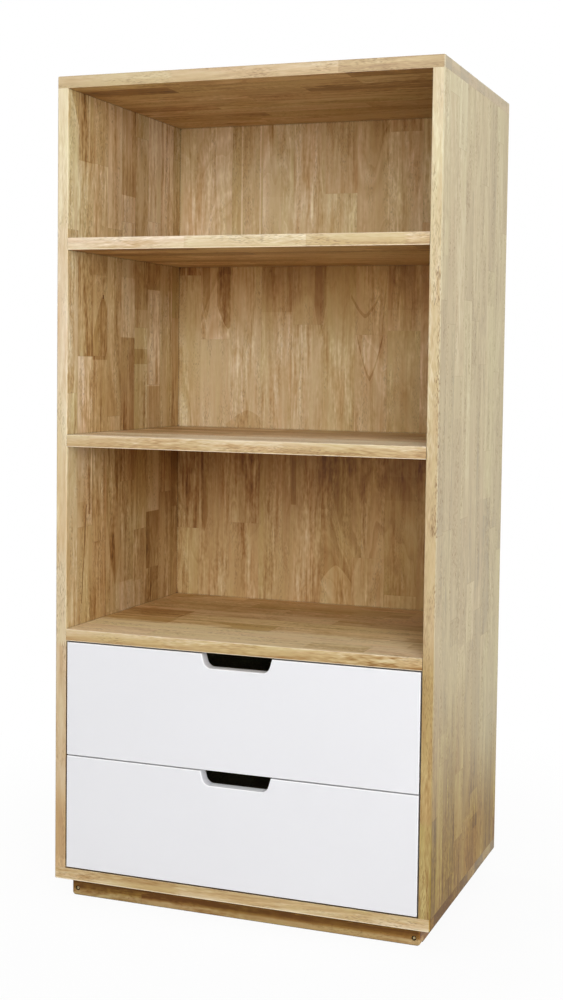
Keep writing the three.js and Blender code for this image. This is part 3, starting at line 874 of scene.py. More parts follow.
# Each side's tone and amber are graded over the height, darker and more amber lower down: a painted shade.
side_woods = {
    "left": board_wood("left_side_wood", "Z", "Y", (0.0, side_start, 0.0), staves=left_staves,
                       staves_on=(left_inside,), faces=left_faces, streaks=2.6,
                       tone={0.0: 0.5, 0.3: 0.48, 0.7: 0.6, 1.1: 0.7}, amber={0.0: 0.4, 0.6: 0.35, 1.2: 0.25},
                       **side_settings),
    "right": board_wood("right_side_wood", "Z", "Y", (9.0, side_start, 0.0), staves=right_staves,
                        faces=right_faces, sheen=0.12,
                        tone={0.0: 0.24, 0.3: 0.30, 0.6: 0.35, 0.9: 0.42, 1.2: 0.56}, **side_settings),
}
for side, sign in (("left", -1), ("right", 1)):
    low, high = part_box(f"{side}_side_panel")
    outer, inner = (low.x, high.x) if side == "left" else (high.x, low.x)
    step = sign * rabbet_reach
    outline = [
        (outer, carcass_front), (inner, carcass_front), (inner, rabbet_front),
        (step, rabbet_front), (step, carcass_rear), (outer, carcass_rear),
    ]
    bm = extruded_outline([(x, y, low.z) for x, y in outline], Vector((0, 0, high.z - low.z)))
    ease(bm, edges_at(bm, x=outer, y=carcass_front), outer_arris, 4, mark=outer_arris_shade_mark)
    ease(bm, edges_at(bm, x=outer, y=carcass_rear), outer_arris, 4)
    ease(bm, edges_at(bm, x=inner, y=carcass_front), arris, mark=inner_arris_highlight_mark)
    finish_piece(bm, f"{side}_side_board", side_woods[side], "carcass", [f"{side}_side_panel"])


# %% [markdown]
# ## Top and bottom boards
#
# These two run over the ends of the sides, so their rabbet has to stop short of both ends. A stopped step
# can't be drawn as one outline. Four cutting planes mark its borders on the board, the marked faces are
# taken away, and one extruded edge and a few filled gaps make the walls of the step.

# %% Top and bottom boards with a stopped rabbet
def cut_stopped_rabbet(bm, reach, front, rear, mouth, depth):
    """Cuts a step |x| < reach, from y = front to the rear face, and from z = mouth to z = depth."""
    planes = (((reach, 0, 0), AXES["X"]), ((-reach, 0, 0), AXES["X"]), ((0, front, 0), AXES["Y"]),
              ((0, 0, depth), AXES["Z"]))
    for point, normal in planes:
        bmesh.ops.bisect_plane(bm, geom=bm.verts[:] + bm.edges[:] + bm.faces[:], plane_co=point,
                               plane_no=normal, dist=CLOSE)

    def in_step(face):
        middle = face.calc_center_median()
        between = min(mouth, depth) - CLOSE < middle.z < max(mouth, depth) + CLOSE
        on_wall = abs(middle.y - rear) < CLOSE or abs(middle.z - mouth) < CLOSE
        return abs(middle.x) < reach and middle.y > front and between and on_wall

    bmesh.ops.delete(bm, geom=[face for face in bm.faces if in_step(face)], context="FACES")
    lip = [
        edge for edge in edges_at(bm, y=rear, z=depth)
        if abs((edge.verts[0].co.x + edge.verts[1].co.x) / 2) < reach
    ]
    drawn = bmesh.ops.extrude_edge_only(bm, edges=lip)["geom"]
    bmesh.ops.translate(bm, vec=(0, front - rear, 0), verts=only(bmesh.types.BMVert, drawn))
    front_wall = edges_at(bm, y=front, z=depth) + edges_at(bm, y=front, z=mouth)
    bmesh.ops.contextual_create(bm, geom=[edge for edge in front_wall if edge.is_boundary])
    bmesh.ops.holes_fill(bm, edges=[edge for edge in bm.edges if edge.is_boundary], sides=4)
    bmesh.ops.recalc_face_normals(bm, faces=bm.faces)


top_front = (-0.2, -0.1945)
top_staves = (stave(top_front, (-0.31, 0.145), 0.0), stave(top_front, (0.145, 0.31), -0.18))
top_under = ("Z", 1.243, 1.236)
# The top board's underside is more amber, darker at the front and lighter at the rear, a painted shade, and
# its outer end has the pale grey of a painted sheen.
top_faces = (
    (right_end, {"paleness": 0.6, "figure": -0.15, "tone": -0.24}),
    (front_face, {"figure": -0.1, "tone": 0.1, "amber": -0.6, "paleness": 0.3, "greenness": -0.4}),
    (top_under, ("Y", 0.0, -0.17), {"tone": -0.14}),
    (top_under, ("Y", 0.06, 0.12), {"tone": 0.12}),
)
# The bottom board's outer end is painted darker, greener and more amber, a painted shade like the foot of the
# right side.
bottom_faces = (
    (right_end, {"figure": -0.1, "tone": -0.36, "greenness": 0.7, "amber": 0.65}),
    (right_end, ("Y", -0.1, 0.17), {"tone": 0.1, "paleness": 0.3}),
    (front_face, {"amber": -0.35, "figure": -0.06, "tone": 0.1}),
    (front_face, ("Z", 0.036, 0.044), {"tone": -0.12}),
    (front_face, ("X", -0.14, -0.22), {"tone": 0.14}),
    (front_face, ("X", 0.2, 0.27), {"tone": 0.14}),
)
top_wood = board_wood("top_wood", "X", "Y", (3.1, 0.011, 0.0), staves=top_staves, faces=top_faces,
                      tone=0.5, amber={1.232: 0.7, 1.25: 0.0})
bottom_wood = board_wood("bottom_wood", "X", "Y", (6.4, 0.023, 0.0), faces=bottom_faces, sheen=0.1,
                         tone=0.44, amber=0.35)
seam_arris = 0.7 * MM
# Each board's mouth arris gets a painted highlight, and so does the bottom's lower front arris. The top's
# upper front arris, the bottom's lower end arrises and the seams at both boards' ends get a painted shade.
for node, material, depth, mouth_arris, front_mark, end_mark, seam_mark in (
    ("top_panel", top_wood, back_high.z + panel_clearance, 0.8 * MM, -0.2, 0.0, -0.4),
    ("bottom_panel", bottom_wood, back_low.z - panel_clearance, 1.2 * MM, 0.8, -0.8, -1.0),
):
    low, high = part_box(node)
    far, mouth = (high.z, low.z) if node == "top_panel" else (low.z, high.z)
    bm = box_mesh(low, high)
    cut_stopped_rabbet(bm, rabbet_reach, rabbet_front, carcass_rear, mouth, depth)
    outside = edges_at(bm, y=carcass_front, z=far) + edges_at(bm, y=carcass_rear, z=far)
    for end in (low.x, high.x):
        outside += edges_at(bm, x=end, z=far)
        outside += edges_at(bm, x=end, y=carcass_front) + edges_at(bm, x=end, y=carcass_rear)
    ease(bm, outside, outer_arris, 4)
    mark_arris(bm, front_mark, outer_arris, y=carcass_front, z=far)
    ease(bm, edges_at(bm, y=carcass_front, z=mouth), mouth_arris, mark=1.0)
    for end in (low.x, high.x):
        mark_arris(bm, end_mark, outer_arris, x=end, z=far)
        ease(bm, edges_at(bm, x=end, z=mouth), seam_arris, 2, mark=seam_mark)
    finish_piece(bm, node.replace("panel", "board"), material, "carcass", [node])

# %% [markdown]
# ## Shelves
#
# The three shelves sit between the sides, flush at the front. Their two long front edges are free, and their
# arrises show as bright lines in the photograph. Each shelf slides the wood pattern to another place, which
# is what keeps three equal boards from looking like copies. Their lower faces lie in the shade of a bay and
# their upper faces in the light, so the tone is graded through the board, with a glow towards the front.

# %% Three shelves
shelf_front = (-0.2, -0.1945)
# Both front arrises get a painted highlight, the lower one the stronger. Tone and amber graded through the
# board, the glow at the front of the upper face and the darker front of the underside are painted light and
# shade, and the extra faces and named staves on the upper faces paint the fall of light in part.
under_amber = 0.8
upper_arris_mark, lower_arris_mark = 0.45, 1.0
shelf_woods = {
    "upper_shelf": {
        "start": (12.7, 0.005, 0.0), "under": 0.54, "over": 0.74, "over_amber": 0.3, "glow": 0.12,
        "front": {"tone": 0.1, "amber": -0.9, "paleness": 0.15, "greenness": -0.5},
        "staves": (stave(shelf_front, (-0.29, -0.09), 0.1), stave(shelf_front, (0.1, 0.29), -0.16)),
    },
    "middle_shelf": {
        "start": (15.2, 0.019, 0.0), "under": 0.44, "over": 0.80, "over_amber": 0.45, "glow": 0.18,
        "sheen": 0.2,
        "front": {"tone": -0.1, "amber": -0.65, "paleness": 0.1, "greenness": -0.2},
        "over_faces": (
            (("Y", 0.04, 0.10), ("X", 0.0, -0.25), {"tone": -0.14}),
            (("Y", 0.04, 0.10), ("X", 0.0, 0.20), {"tone": 0.10}),
        ),
    },
    "drawer_divider": {
        "start": (18.9, 0.036, 0.0), "under": 0.46, "over": 0.74, "over_amber": 0.85, "glow": 0.24,
        "sheen": 0.15,
        "front": {"tone": -0.15, "amber": -0.85},
        "over_faces": (
            (("Y", -0.08, -0.05), ("X", -0.14, 0.0), {"tone": 0.08}),
            (("Y", -0.08, -0.05), ("X", 0.0, 0.20), {"tone": 0.08}),
            (("Y", 0.10, 0.16), {"tone": 0.08}),
            (("Y", 0.02, 0.10), ("X", 0.10, 0.22), {"tone": 0.24}),
        ),
        "staves": (
            stave((-0.194, -0.146), (-0.29, -0.145), 0.0),
            stave((-0.194, -0.146), (-0.145, 0.10), 0.05),
            stave((-0.146, -0.098), (-0.165, 0.24), 0.06),
            stave((-0.098, -0.050), (-0.165, -0.06), 0.12, high_arch=-0.05),
            stave((-0.036, 0.028), (-0.29, -0.17), -0.24),
            stave((0.050, 0.098), (-0.29, 0.07), -0.06),
            stave((0.098, 0.104), (-0.25, 0.06), -0.2),
            stave((0.080, 0.126), (0.075, 0.135), -0.1),
            stave((-0.088, -0.080), (0.20, 0.29), -0.2),
        ),
    },
}
for node, wood in shelf_woods.items():
    low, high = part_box(node)
    bm = box_mesh(low, high)
    ease(bm, edges_at(bm, y=low.y, z=high.z), shelf_arris, mark=upper_arris_mark)
    ease(bm, edges_at(bm, y=low.y, z=low.z), shelf_arris, mark=lower_arris_mark)
    middle = (low.z + high.z) / 2
    above, below = ("Z", middle, high.z - MM), ("Z", middle, low.z + MM)
    behind = ("Y", edge_plane, front_plane)
    faces = [
        (front_face, {"spread": -0.2, "figure": -0.08, "flecks": 0.8, **wood["front"]}),
        (below, behind, ("Y", 0.02, -0.17), {"tone": -0.26}),
        (below, ("Y", 0.04, 0.12), {"tone": 0.1}),
        (above, behind, ("Y", -0.06, -0.10), {"tone": wood["glow"], "paleness": 0.05, "amber": -0.2}),
    ]
    faces += [(above, *face) for face in wood.get("over_faces", ())]
    material = board_wood(f"{node}_wood", "X", "Y", wood["start"], faces=faces, staves=wood.get("staves", ()),
                          tone={low.z: wood["under"], high.z: wood["over"]},
                          amber={low.z: under_amber, high.z: wood["over_amber"]},
                          sheen=wood.get("sheen", wood_sheen))
    finish_piece(bm, f"{node}_board", material, "carcass", [node])

# %% [markdown]
# ## Back panel
#
# The back is a thin panel whose wider leaves run upright through all three bays, with more arches in the
# figure and less contrast from leaf to leaf. It uses the same wood group with wider and longer staves. Each
# bay's top is in the shade of the board above it, and the wood there is painted darker and more amber, a
# painted shade, so tone and amber are graded over the height. That holds for the front, and the rear of the
# panel stays plain.

# %% Back panel
bm = box_mesh(back_low, back_high)
ease(bm, bm.edges[:], joint_arris, 2)
leaf_width = 0.057
leaf_edge = 0.045
# Dark patches among these that end just under a shelf are in part a painted shade.
back_staves = (
    stave((-0.126, -0.069), (1.11, 1.19), -0.05),
    stave((0.045, 0.102), (1.0, 1.25), -0.08),
    stave((-0.033, -0.015), (1.0, 1.134), -0.1),
    stave((-0.166, -0.163), (1.0, 1.25), 0.12),
    stave((-0.132, -0.129), (1.0, 1.25), 0.12),
    stave((0.099, 0.102), (1.0, 1.25), 0.14),
    stave((-0.237, -0.223), (0.90, 1.0), -0.16, low_arch=0.03),
    stave((-0.209, -0.184), (0.885, 1.0), -0.2, low_arch=0.04, peak=-0.188),
    stave((-0.126, -0.069), (0.914, 1.0), -0.1),
    stave((-0.080, -0.069), (0.910, 1.0), -0.1),
    stave((-0.029, -0.008), (0.877, 1.0), -0.18, low_arch=0.05),
    stave((0.037, 0.087), (0.904, 0.911), -0.18, low_arch=0.033, high_arch=0.033),
    stave((0.048, 0.094), (0.799, 0.807), -0.2, low_arch=0.072, high_arch=0.072),
    stave((0.091, 0.093), (0.877, 1.0), -0.14, lean=0.08),
    stave((-0.19, -0.11), (0.70, 0.745), -0.1, high_arch=-0.025),
    stave((0.102, 0.297), (0.918, 1.0), -0.06),
    stave((-0.237, -0.223), (0.53, 0.7), -0.16, low_arch=0.03),
    stave((-0.165, -0.120), (0.525, 0.7), -0.08, low_arch=0.03),
    stave((-0.067, -0.058), (0.585, 0.7), -0.2),
    stave((0.102, 0.159), (0.60, 0.64), -0.08),
    stave((-0.012, 0.045), (0.40, 0.485), 0.08, high_arch=-0.03),
)
back_tone = {0.41: 0.58, 0.56: 0.50, 0.64: 0.37, 0.69: 0.30, 0.71: 0.7, 0.86: 0.7, 0.94: 0.56, 0.99: 0.44,
             1.01: 0.76, 1.16: 0.74, 1.24: 0.68}
back_amber = {0.41: 0.3, 0.56: 0.35, 0.69: 0.9, 0.71: 0.2, 0.86: 0.2, 0.99: 0.8, 1.01: 0.2, 1.16: 0.2,
              1.24: 0.4}
rear_tone, rear_amber = 0.62, 0.3
back_front = ("Y", back_high.y - MM, back_low.y + MM)
back_faces = (
    (back_front, {"tone": -rear_tone, "amber": -rear_amber}),
    (back_front, {"tone": back_tone, "amber": back_amber}),
    (back_front, ("X", -0.08, 0.14), {"amber": 0.4}),
)
back_wood = board_wood("back_wood", "Z", "X", (21.3, leaf_width - leaf_edge, 0.0), staves=back_staves,
                       staves_on=(back_front,), faces=back_faces, tone=rear_tone, amber=rear_amber,
                       spread=0.22, figure=0.29, stave_width=leaf_width, stave_length=0.5, rings=1.1,
                       streaks=1.7, flecks=0.9, pores=0.3, joint=0.1, sway=0.0)
finish_piece(bm, "back_leaf_panel", back_wood, "carcass", ["back_panel"])


# %% [markdown]
# ## Screws
#
# One kind of screw serves the plinth, the runners and the back, in three sizes. Its head is drawn as two
# loops, a circle and the cross of the recess, with the ring between them filled. The cross is extruded
# down into a tapering recess, and the circle outwards and down, one ring for each step of the profile. The
# flat keeps the first finish and the rest may take a second, so its faces say which. On the plinth that
# second finish is a dark steel, a painted shade for the shadow in the sunk hole.

# %% Cross-head screws
head_sides = 24
cross_arm, cross_slot = 0.8, 0.2
recess_taper, recess_depth = 0.6, 0.5
shank_share = 0.55


def scaled_ring(bm, edges, share, drop):
    """Extrudes a closed loop about the Z axis, scales it and lowers it. Returns the new loop."""
    drawn = bmesh.ops.extrude_edge_only(bm, edges=edges)["geom"]
    verts = only(bmesh.types.BMVert, drawn)
    bmesh.ops.scale(bm, vec=(share, share, 1), verts=verts)
    bmesh.ops.translate(bm, vec=(0, 0, -drop), verts=verts)
    return only(bmesh.types.BMEdge, drawn)


def screw_mesh(head_radius, length, place, turn, flat_share=0.5, slope=0.15):
    """A countersunk screw. Its head's flat lies at place and faces along the turned +Z. slope is how far the
    rim lies below the flat, in head radii."""
    bm = bmesh.new()
    flat = head_radius * flat_share
    bmesh.ops.create_circle(bm, cap_ends=False, radius=flat, segments=head_sides)
    circle = bm.edges[:]
    arm, slot = flat * cross_arm, flat * cross_slot
    corners = [(slot, slot), (slot, arm), (-slot, arm), (-slot, slot), (-arm, slot), (-arm, -slot),
               (-slot, -slot), (-slot, -arm), (slot, -arm), (slot, -slot), (arm, -slot), (arm, slot)]
    cross = closed_loop(bm, [(x, y, 0) for x, y in corners])[1]
    bmesh.ops.triangle_fill(bm, use_beauty=True, edges=circle + cross, normal=(0, 0, 1))
    flat_faces = bm.faces[:]
    recess_floor = scaled_ring(bm, cross, recess_taper, flat * recess_depth)
    bmesh.ops.contextual_create(bm, geom=recess_floor)
    loop, radius, depth = circle, flat, 0.0
    shank = head_radius * shank_share
    # upper rim, lower rim, neck, end of the shank and tip, each as (radius, depth)
    for next_radius, next_depth in (
        (head_radius * 0.92, head_radius * slope), (head_radius, head_radius * (slope + 0.12)),
        (shank, head_radius * 0.8), (shank, length * 0.88), (shank * 0.1, length),
    ):
        loop = scaled_ring(bm, loop, next_radius / radius, next_depth - depth)
        radius, depth = next_radius, next_depth
    bmesh.ops.contextual_create(bm, geom=loop)
    bmesh.ops.recalc_face_normals(bm, faces=bm.faces)
    for face in bm.faces:
        face.material_index = 0 if face in flat_faces else 1
    bmesh.ops.transform(bm, matrix=Matrix.Translation(place) @ turn.to_4x4(), verts=bm.verts)
    return bm


def join_meshes(parts):
    """One bmesh from several."""
    whole = bmesh.new()
    for part in parts:
        carried = bpy.data.meshes.new("carried")
        part.to_mesh(carried)
        part.free()
        whole.from_mesh(carried)
        bpy.data.meshes.remove(carried)
    return whole


def facing(direction):
    return Vector(direction).to_track_quat("Z", "Y").to_matrix()


# %% [markdown]
# ## Zinc-plated steel
#
# Runners are bright zinc plate: a metal with a faint blue cast and a streaky, slightly cloudy roughness from
# the rolling. A stretched noise gives the streaks and a broad one the clouds. The plinth's screws are yellow
# zinc on the flat, and their sunk rim is a dark brown steel, a painted shade for the shadow in the hole.

# %% Zinc, yellow zinc and a dark steel for painted shade
streaks_across, streaks_along = 900, 12
cloud_waves, cloud_shade = 160, 0.86
least_roughness, cloud_roughness, streak_roughness = 0.18, 0.16, 0.14
steel_bump, steel_bump_height = 0.15, 0.02 * MM


def darker(colour, share):
    return [part * share for part in colour[:3]] + [1]


def steel(name, colour, streak_axis):
    material, tree = new_material(name)
    place = add_node(tree, "TexCoord").outputs["Object"]
    stretch = [streaks_along if axis == streak_axis else streaks_across for axis in "XYZ"]
    streaks = add_node(tree, "Mapping", {"Vector": place, "Scale": stretch}).outputs[0]
    fine = add_node(tree, "TexNoise", {"Vector": streaks, "Scale": 1.0, "Detail": 2.0}).outputs["Fac"]
    clouds = add_node(tree, "TexNoise", {"Vector": place, "Scale": cloud_waves, "Detail": 2.0}).outputs["Fac"]
    roughness = calculate(tree, "MULTIPLY_ADD", clouds, cloud_roughness, least_roughness)
    roughness = calculate(tree, "MULTIPLY_ADD", fine, streak_roughness, roughness)
    tint = mix(tree, clouds, darker(colour, cloud_shade), colour)
    bump = add_node(tree, "Bump", {"Height": fine, "Strength": steel_bump, "Distance": steel_bump_height})
    shader = add_node(tree, "BsdfPrincipled", {
        "Base Color": tint, "Roughness": roughness, "Metallic": 1.0, "Normal": bump.outputs["Normal"],
    })
    add_node(tree, "OutputMaterial", {"Surface": shader.outputs[0]})
    return material


zinc = steel("zinc_plate_finish", linear(205, 209, 214), "Y")
yellow_zinc = steel("yellow_zinc_finish", linear(222, 200, 150), "Z")
# A dark brown steel on the rims of the plinth's sunk screws: a painted shade for the shadow in the hole.
painted_shade_steel = steel("browned_steel_finish", linear(84, 62, 40), "Z")

# %% [markdown]
# ## Plinth
#
# The plinth is a low frame set back under the carcass. Its front and back boards cover the ends of the side
# boards, and two sunk screws go through each, of which the front right one shows as a dark ring, partly a
# painted shade on the screw's rim. So the board's face is filled around two circles before it is drawn
# out, and the lower corners are rounded, as they are on the real one. Its upper half lies in the shadow of
# the bottom board, and is painted darker there, a painted shadow.

# %% Plinth boards
plinth_corner = 5 * MM
plinth_arris = 2.2 * MM
screw_hole_clearance = 0.25 * MM
hole_sides = 32


def round_verts(bm, verts, radius, segments=6):
    bmesh.ops.bevel(bm, geom=verts, offset=radius, offset_type="OFFSET", affect="VERTICES",
                    segments=segments, profile=0.5, material=-1)


def plinth_end_board(end, sign, material):
    low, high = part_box(f"plinth_{end}_board")
    outside, inside = (low.y, high.y) if sign < 0 else (high.y, low.y)
    bm = new_shape()
    corners = [(low.x, low.z), (high.x, low.z), (high.x, high.z), (low.x, high.z)]
    verts = closed_loop(bm, [(x, outside, z) for x, z in corners])[0]
    round_verts(bm, verts[:2], plinth_corner)
    rims = []
    for side in ("left", "right"):
        screw_low, screw_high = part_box(f"plinth_{end}_{side}_screw")
        centre = (screw_low + screw_high) / 2
        rims.append((centre.x, centre.z, (screw_high.x - screw_low.x) / 2 + screw_hole_clearance))
        place = Matrix.Translation((centre.x, outside, centre.z)) @ Matrix.Rotation(math.pi / 2, 4, "X")
        bmesh.ops.create_circle(bm, cap_ends=False, radius=rims[-1][2], segments=hole_sides, matrix=place)
    filled = bmesh.ops.triangle_fill(bm, use_beauty=True, edges=bm.edges, normal=(0, sign, 0))["geom"]
    drawn = bmesh.ops.extrude_face_region(bm, geom=only(bmesh.types.BMFace, filled))["geom"]
    bmesh.ops.translate(bm, vec=(0, inside - outside, 0), verts=only(bmesh.types.BMVert, drawn))
    bmesh.ops.recalc_face_normals(bm, faces=bm.faces)

    def is_rim(edge):
        middle = (edge.verts[0].co + edge.verts[1].co) / 2
        near_hole = any(math.hypot(middle.x - x, middle.z - z) < radius + CLOSE for x, z, radius in rims)
        sharp = edge.calc_face_angle(0) > math.radians(30)
        return sharp and not near_hole and middle.z < high.z - CLOSE

    ease(bm, [edge for edge in edges_at(bm, y=outside) if is_rim(edge)], plinth_arris)
    finish_piece(bm, f"plinth_{end}_rail", material, "carcass", [f"plinth_{end}_board"])


# Towards their top the front and back rails are painted darker, more amber and greener, a painted shadow
# under the bottom board, and the side rails, in shade under the overhang, are painted darker all over.
plinth_wood = {
    "tone": {0.0: 0.41, 0.008: 0.4, 0.014: 0.06, 0.02: 0.02}, "spread": 0.1, "stave_length": 0.5,
    "amber": {0.0: 0.0, 0.008: 0.0, 0.014: 0.9, 0.02: 0.9}, "figure": 0.2,
    "greenness": {0.0: 0.1, 0.008: 0.1, 0.014: 0.5, 0.02: 0.5},
    "staves": (stave((-0.01, 0.04), (-0.3, 0.0), 0.0), stave((-0.01, 0.04), (0.0, 0.3), 0.02)),
    "sheen": 0.15,
}
shaded_wood = plinth_wood | {"tone": {0.0: 0.2, 0.008: 0.16, 0.014: 0.02, 0.02: 0.0}, "amber": 0.5}
for end, sign, start in (("front", -1, (24.1, 0.02, 0.0)), ("back", 1, (25.3, 0.02, 0.0))):
    plinth_end_board(end, sign, board_wood(f"plinth_{end}_wood", "X", "Z", start, **plinth_wood))
for side, start in (("left", (26.2, 0.02, 0.0)), ("right", (27.5, 0.02, 0.0))):
    low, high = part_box(f"plinth_{side}_board")
    bm = box_mesh(low, high)
    outer = low.x if side == "left" else high.x
    ease(bm, edges_at(bm, x=outer, z=low.z), plinth_arris)
    material = board_wood(f"plinth_{side}_wood", "Y", "Z", start, **shaded_wood)
    finish_piece(bm, f"plinth_{side}_rail", material, "carcass",
                 [f"plinth_{side}_board"])

# %% Plinth screws, sunk below the face
for end, sign in (("front", -1), ("back", 1)):
    for side in ("left", "right"):
        node = f"plinth_{end}_{side}_screw"
        low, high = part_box(node)
        centre = (low + high) / 2
        face = low.y if sign < 0 else high.y
        head = Vector((centre.x, face, centre.z))
        bm = screw_mesh((high.x - low.x) / 2, high.y - low.y, head, facing((0, sign, 0)), slope=0.3)
        finish_piece(bm, f"{node}_head", yellow_zinc, "carcass", [node], 35, painted_shade_steel)


# %% [markdown]
# ## White lacquer
#
# The drawer fronts are sprayed: an even, slightly cool white with a satin sheen, a faint haze and no grain.
# Sprayed paint is never perfectly flat, so a fine low bump breaks up reflections. The gaps around the fronts
# get a painted shade as in the wood, but less of it on the eased arris, which gets a painted highlight and
# stays the brightest part of the front.

# %% White satin lacquer
peel_waves, haze_waves = 420, 7
haze_shade = 0.975
arris_white = linear(250, 250, 251)
gap_brown = linear(66, 56, 48)
lacquer_gap, lacquer_gap_share, less_on_arris = (0.12, 0.42), 0.8, 0.65
lacquer_roughness, haze_roughness = 0.30, 0.08
lacquer_bump, lacquer_bump_height = 0.12, 0.05 * MM
lacquer_coat, lacquer_coat_roughness = 0.15, 0.2


def lacquer(name, colour):
    material, tree = new_material(name)
    place = add_node(tree, "TexCoord").outputs["Object"]
    peel = add_node(tree, "TexNoise", {"Vector": place, "Scale": peel_waves, "Detail": 2.0}).outputs["Fac"]
    haze = add_node(tree, "TexNoise", {"Vector": place, "Scale": haze_waves, "Detail": 3.0}).outputs["Fac"]
    tint = mix(tree, haze, darker(colour, haze_shade), colour)
    # The eased arris gets a painted highlight, and narrow gaps a painted shade, less of it on the arris.
    on_arris = add_node(tree, "Attribute", attribute_name="arris").outputs["Fac"]
    tint = mix(tree, on_arris, tint, arris_white)
    gap_share = calculate(tree, "MULTIPLY_ADD", on_arris, -less_on_arris, lacquer_gap_share)
    shaded = calculate(tree, "MULTIPLY", in_gap(tree, *lacquer_gap), gap_share)
    tint = mix(tree, shaded, tint, gap_brown)
    roughness = calculate(tree, "MULTIPLY_ADD", haze, haze_roughness, lacquer_roughness)
    bump = add_node(tree, "Bump", {"Height": peel, "Strength": lacquer_bump, "Distance": lacquer_bump_height})
    shader = add_node(tree, "BsdfPrincipled", {
        "Base Color": tint, "Roughness": roughness, "Normal": bump.outputs["Normal"],
        "Coat Weight": lacquer_coat, "Coat Roughness": lacquer_coat_roughness,
    })
    add_node(tree, "OutputMaterial", {"Surface": shader.outputs[0]})
    return material


white_lacquer = lacquer("white_lacquer_finish", linear(229, 229, 232))

# %% [markdown]
# ## Drawer fronts
#
# Each front is a white board with a shallow finger cutout in its top edge, whose lower corners are round.
# The outline is drawn as a loop, the two corners are rounded by a vertex bevel while it is still a loop,
# and only then is it filled, drawn out and eased all round. The arris on a painted front is the brightest
# line in the photograph, so it has a full 1.2 mm and a painted highlight. The floors of the cutouts and the
# lower front's top face are as bright as an arris in the photograph, and are marked like one, with the
# same painted highlight.

# %% Drawer fronts with finger cutouts
cutout_half_mouth = 56 * MM
cutout_half_floor = 50 * MM
cutout_depth = 21 * MM
cutout_corner = 9 * MM
front_ease = 1.2 * MM
front_arris_mark = 0.8


def drawer_front(name):
    low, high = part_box(f"{name}_drawer_front")
    cut_floor = high.z - cutout_depth
    outline = [
        (low.x, low.z), (high.x, low.z), (high.x, high.z), (cutout_half_mouth, high.z),
        (cutout_half_floor, cut_floor), (-cutout_half_floor, cut_floor), (-cutout_half_mouth, high.z),
        (low.x, high.z),
    ]
    bm = new_shape()
    verts = closed_loop(bm, [(x, low.y, z) for x, z in outline])[0]
    round_verts(bm, verts[4:6], cutout_corner, segments=8)
    filled = bmesh.ops.contextual_create(bm, geom=bm.edges[:])["faces"]
    drawn = bmesh.ops.extrude_face_region(bm, geom=filled)["geom"]
    bmesh.ops.translate(bm, vec=(0, high.y - low.y, 0), verts=only(bmesh.types.BMVert, drawn))
    bmesh.ops.recalc_face_normals(bm, faces=bm.faces)
    ease(bm, edges_at(bm, y=low.y) + edges_at(bm, y=high.y), front_ease, mark=front_arris_mark)
    # The cutout floors and the lower front's top face get the painted highlight of an arris and less painted
    # shade.
    arris_mark = bm.faces.layers.float["arris"]
    for face in bm.faces:
        height = face.calc_center_median().z
        if abs(height - cut_floor) < CLOSE or name == "lower" and height > high.z - CLOSE:
            face[arris_mark] = 1.0
    return finish_piece(bm, f"{name}_drawer_face", white_lacquer, f"{name}_drawer",
                        [f"{name}_drawer_front"])


for name in ("upper", "lower"):
    drawer_front(name)

# %% [markdown]
# ## Drawer boxes
#
# Behind each front is a plain box of 12 mm boards with a thin plywood bottom. The sides have a groove that
# holds the bottom, so they are outlines again, drawn from front to rear, with well-rounded top edges that
# a hand meets when it reaches in.

# %% Drawer boxes
top_round = 2.5 * MM
# The boards of a drawer box get the painted shade of a closed drawer.
drawer_shade = 0.95
drawer_wood = {"tone": 0.62, "spread": 0.18, "figure": 0.22, "stave_length": 0.5, "shut_in": drawer_shade}
plywood_settings = {"tone": 0.66, "spread": 0.05, "figure": 0.35, "stave_width": 0.9, "stave_length": 3.0,
                    "ring_spacing": 0.012, "shut_in": drawer_shade}
for name, row in (("upper", 0), ("lower", 1)):
    body = f"{name}_drawer"
    bottom_low, bottom_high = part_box(f"{name}_drawer_bottom")
    groove_low, groove_high = bottom_low.z - panel_clearance, bottom_high.z + panel_clearance
    groove_reach = bottom_high.x + panel_clearance
    for side, sign in (("left", -1), ("right", 1)):
        low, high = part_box(f"{name}_drawer_{side}_side")
        outer, inner = (low.x, high.x) if side == "left" else (high.x, low.x)
        deep = sign * groove_reach
        outline = [(outer, low.z), (outer, high.z), (inner, high.z), (inner, groove_high),
                   (deep, groove_high), (deep, groove_low), (inner, groove_low), (inner, low.z)]
        bm = extruded_outline([(x, low.y, z) for x, z in outline], Vector((0, high.y - low.y, 0)))
        ease(bm, edges_at(bm, x=outer, z=high.z) + edges_at(bm, x=inner, z=high.z), top_round)
        ease(bm, edges_at(bm, x=outer, z=low.z) + edges_at(bm, x=inner, z=low.z), joint_arris)
        start = (29 + 3 * row + sign, 0.01, 0.0)
        material = board_wood(f"{name}_drawer_{side}_wood", "Y", "Z", start, **drawer_wood)
        finish_piece(bm, f"{name}_drawer_{side}_wall", material, body,
                     [f"{name}_drawer_{side}_side"])
    low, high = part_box(f"{name}_drawer_back")
    bm = box_mesh(low, high)
    ease(bm, edges_at(bm, y=low.y, z=high.z) + edges_at(bm, y=high.y, z=high.z), top_round)
    material = board_wood(f"{name}_drawer_back_wood", "X", "Z", (35 + 3 * row, 0.01, 0.0), **drawer_wood)
    finish_piece(bm, f"{name}_drawer_back_wall", material, body, [f"{name}_drawer_back"])
    bm = box_mesh(bottom_low, bottom_high)
    ease(bm, bm.edges[:], joint_arris, 2)
    start = (40 + 3 * row, 0.2, 0.0)
    plywood = board_wood(f"{name}_drawer_bottom_wood", "X", "Y", start, **plywood_settings)
    finish_piece(bm, f"{name}_drawer_floor", plywood, body, [f"{name}_drawer_bottom"])


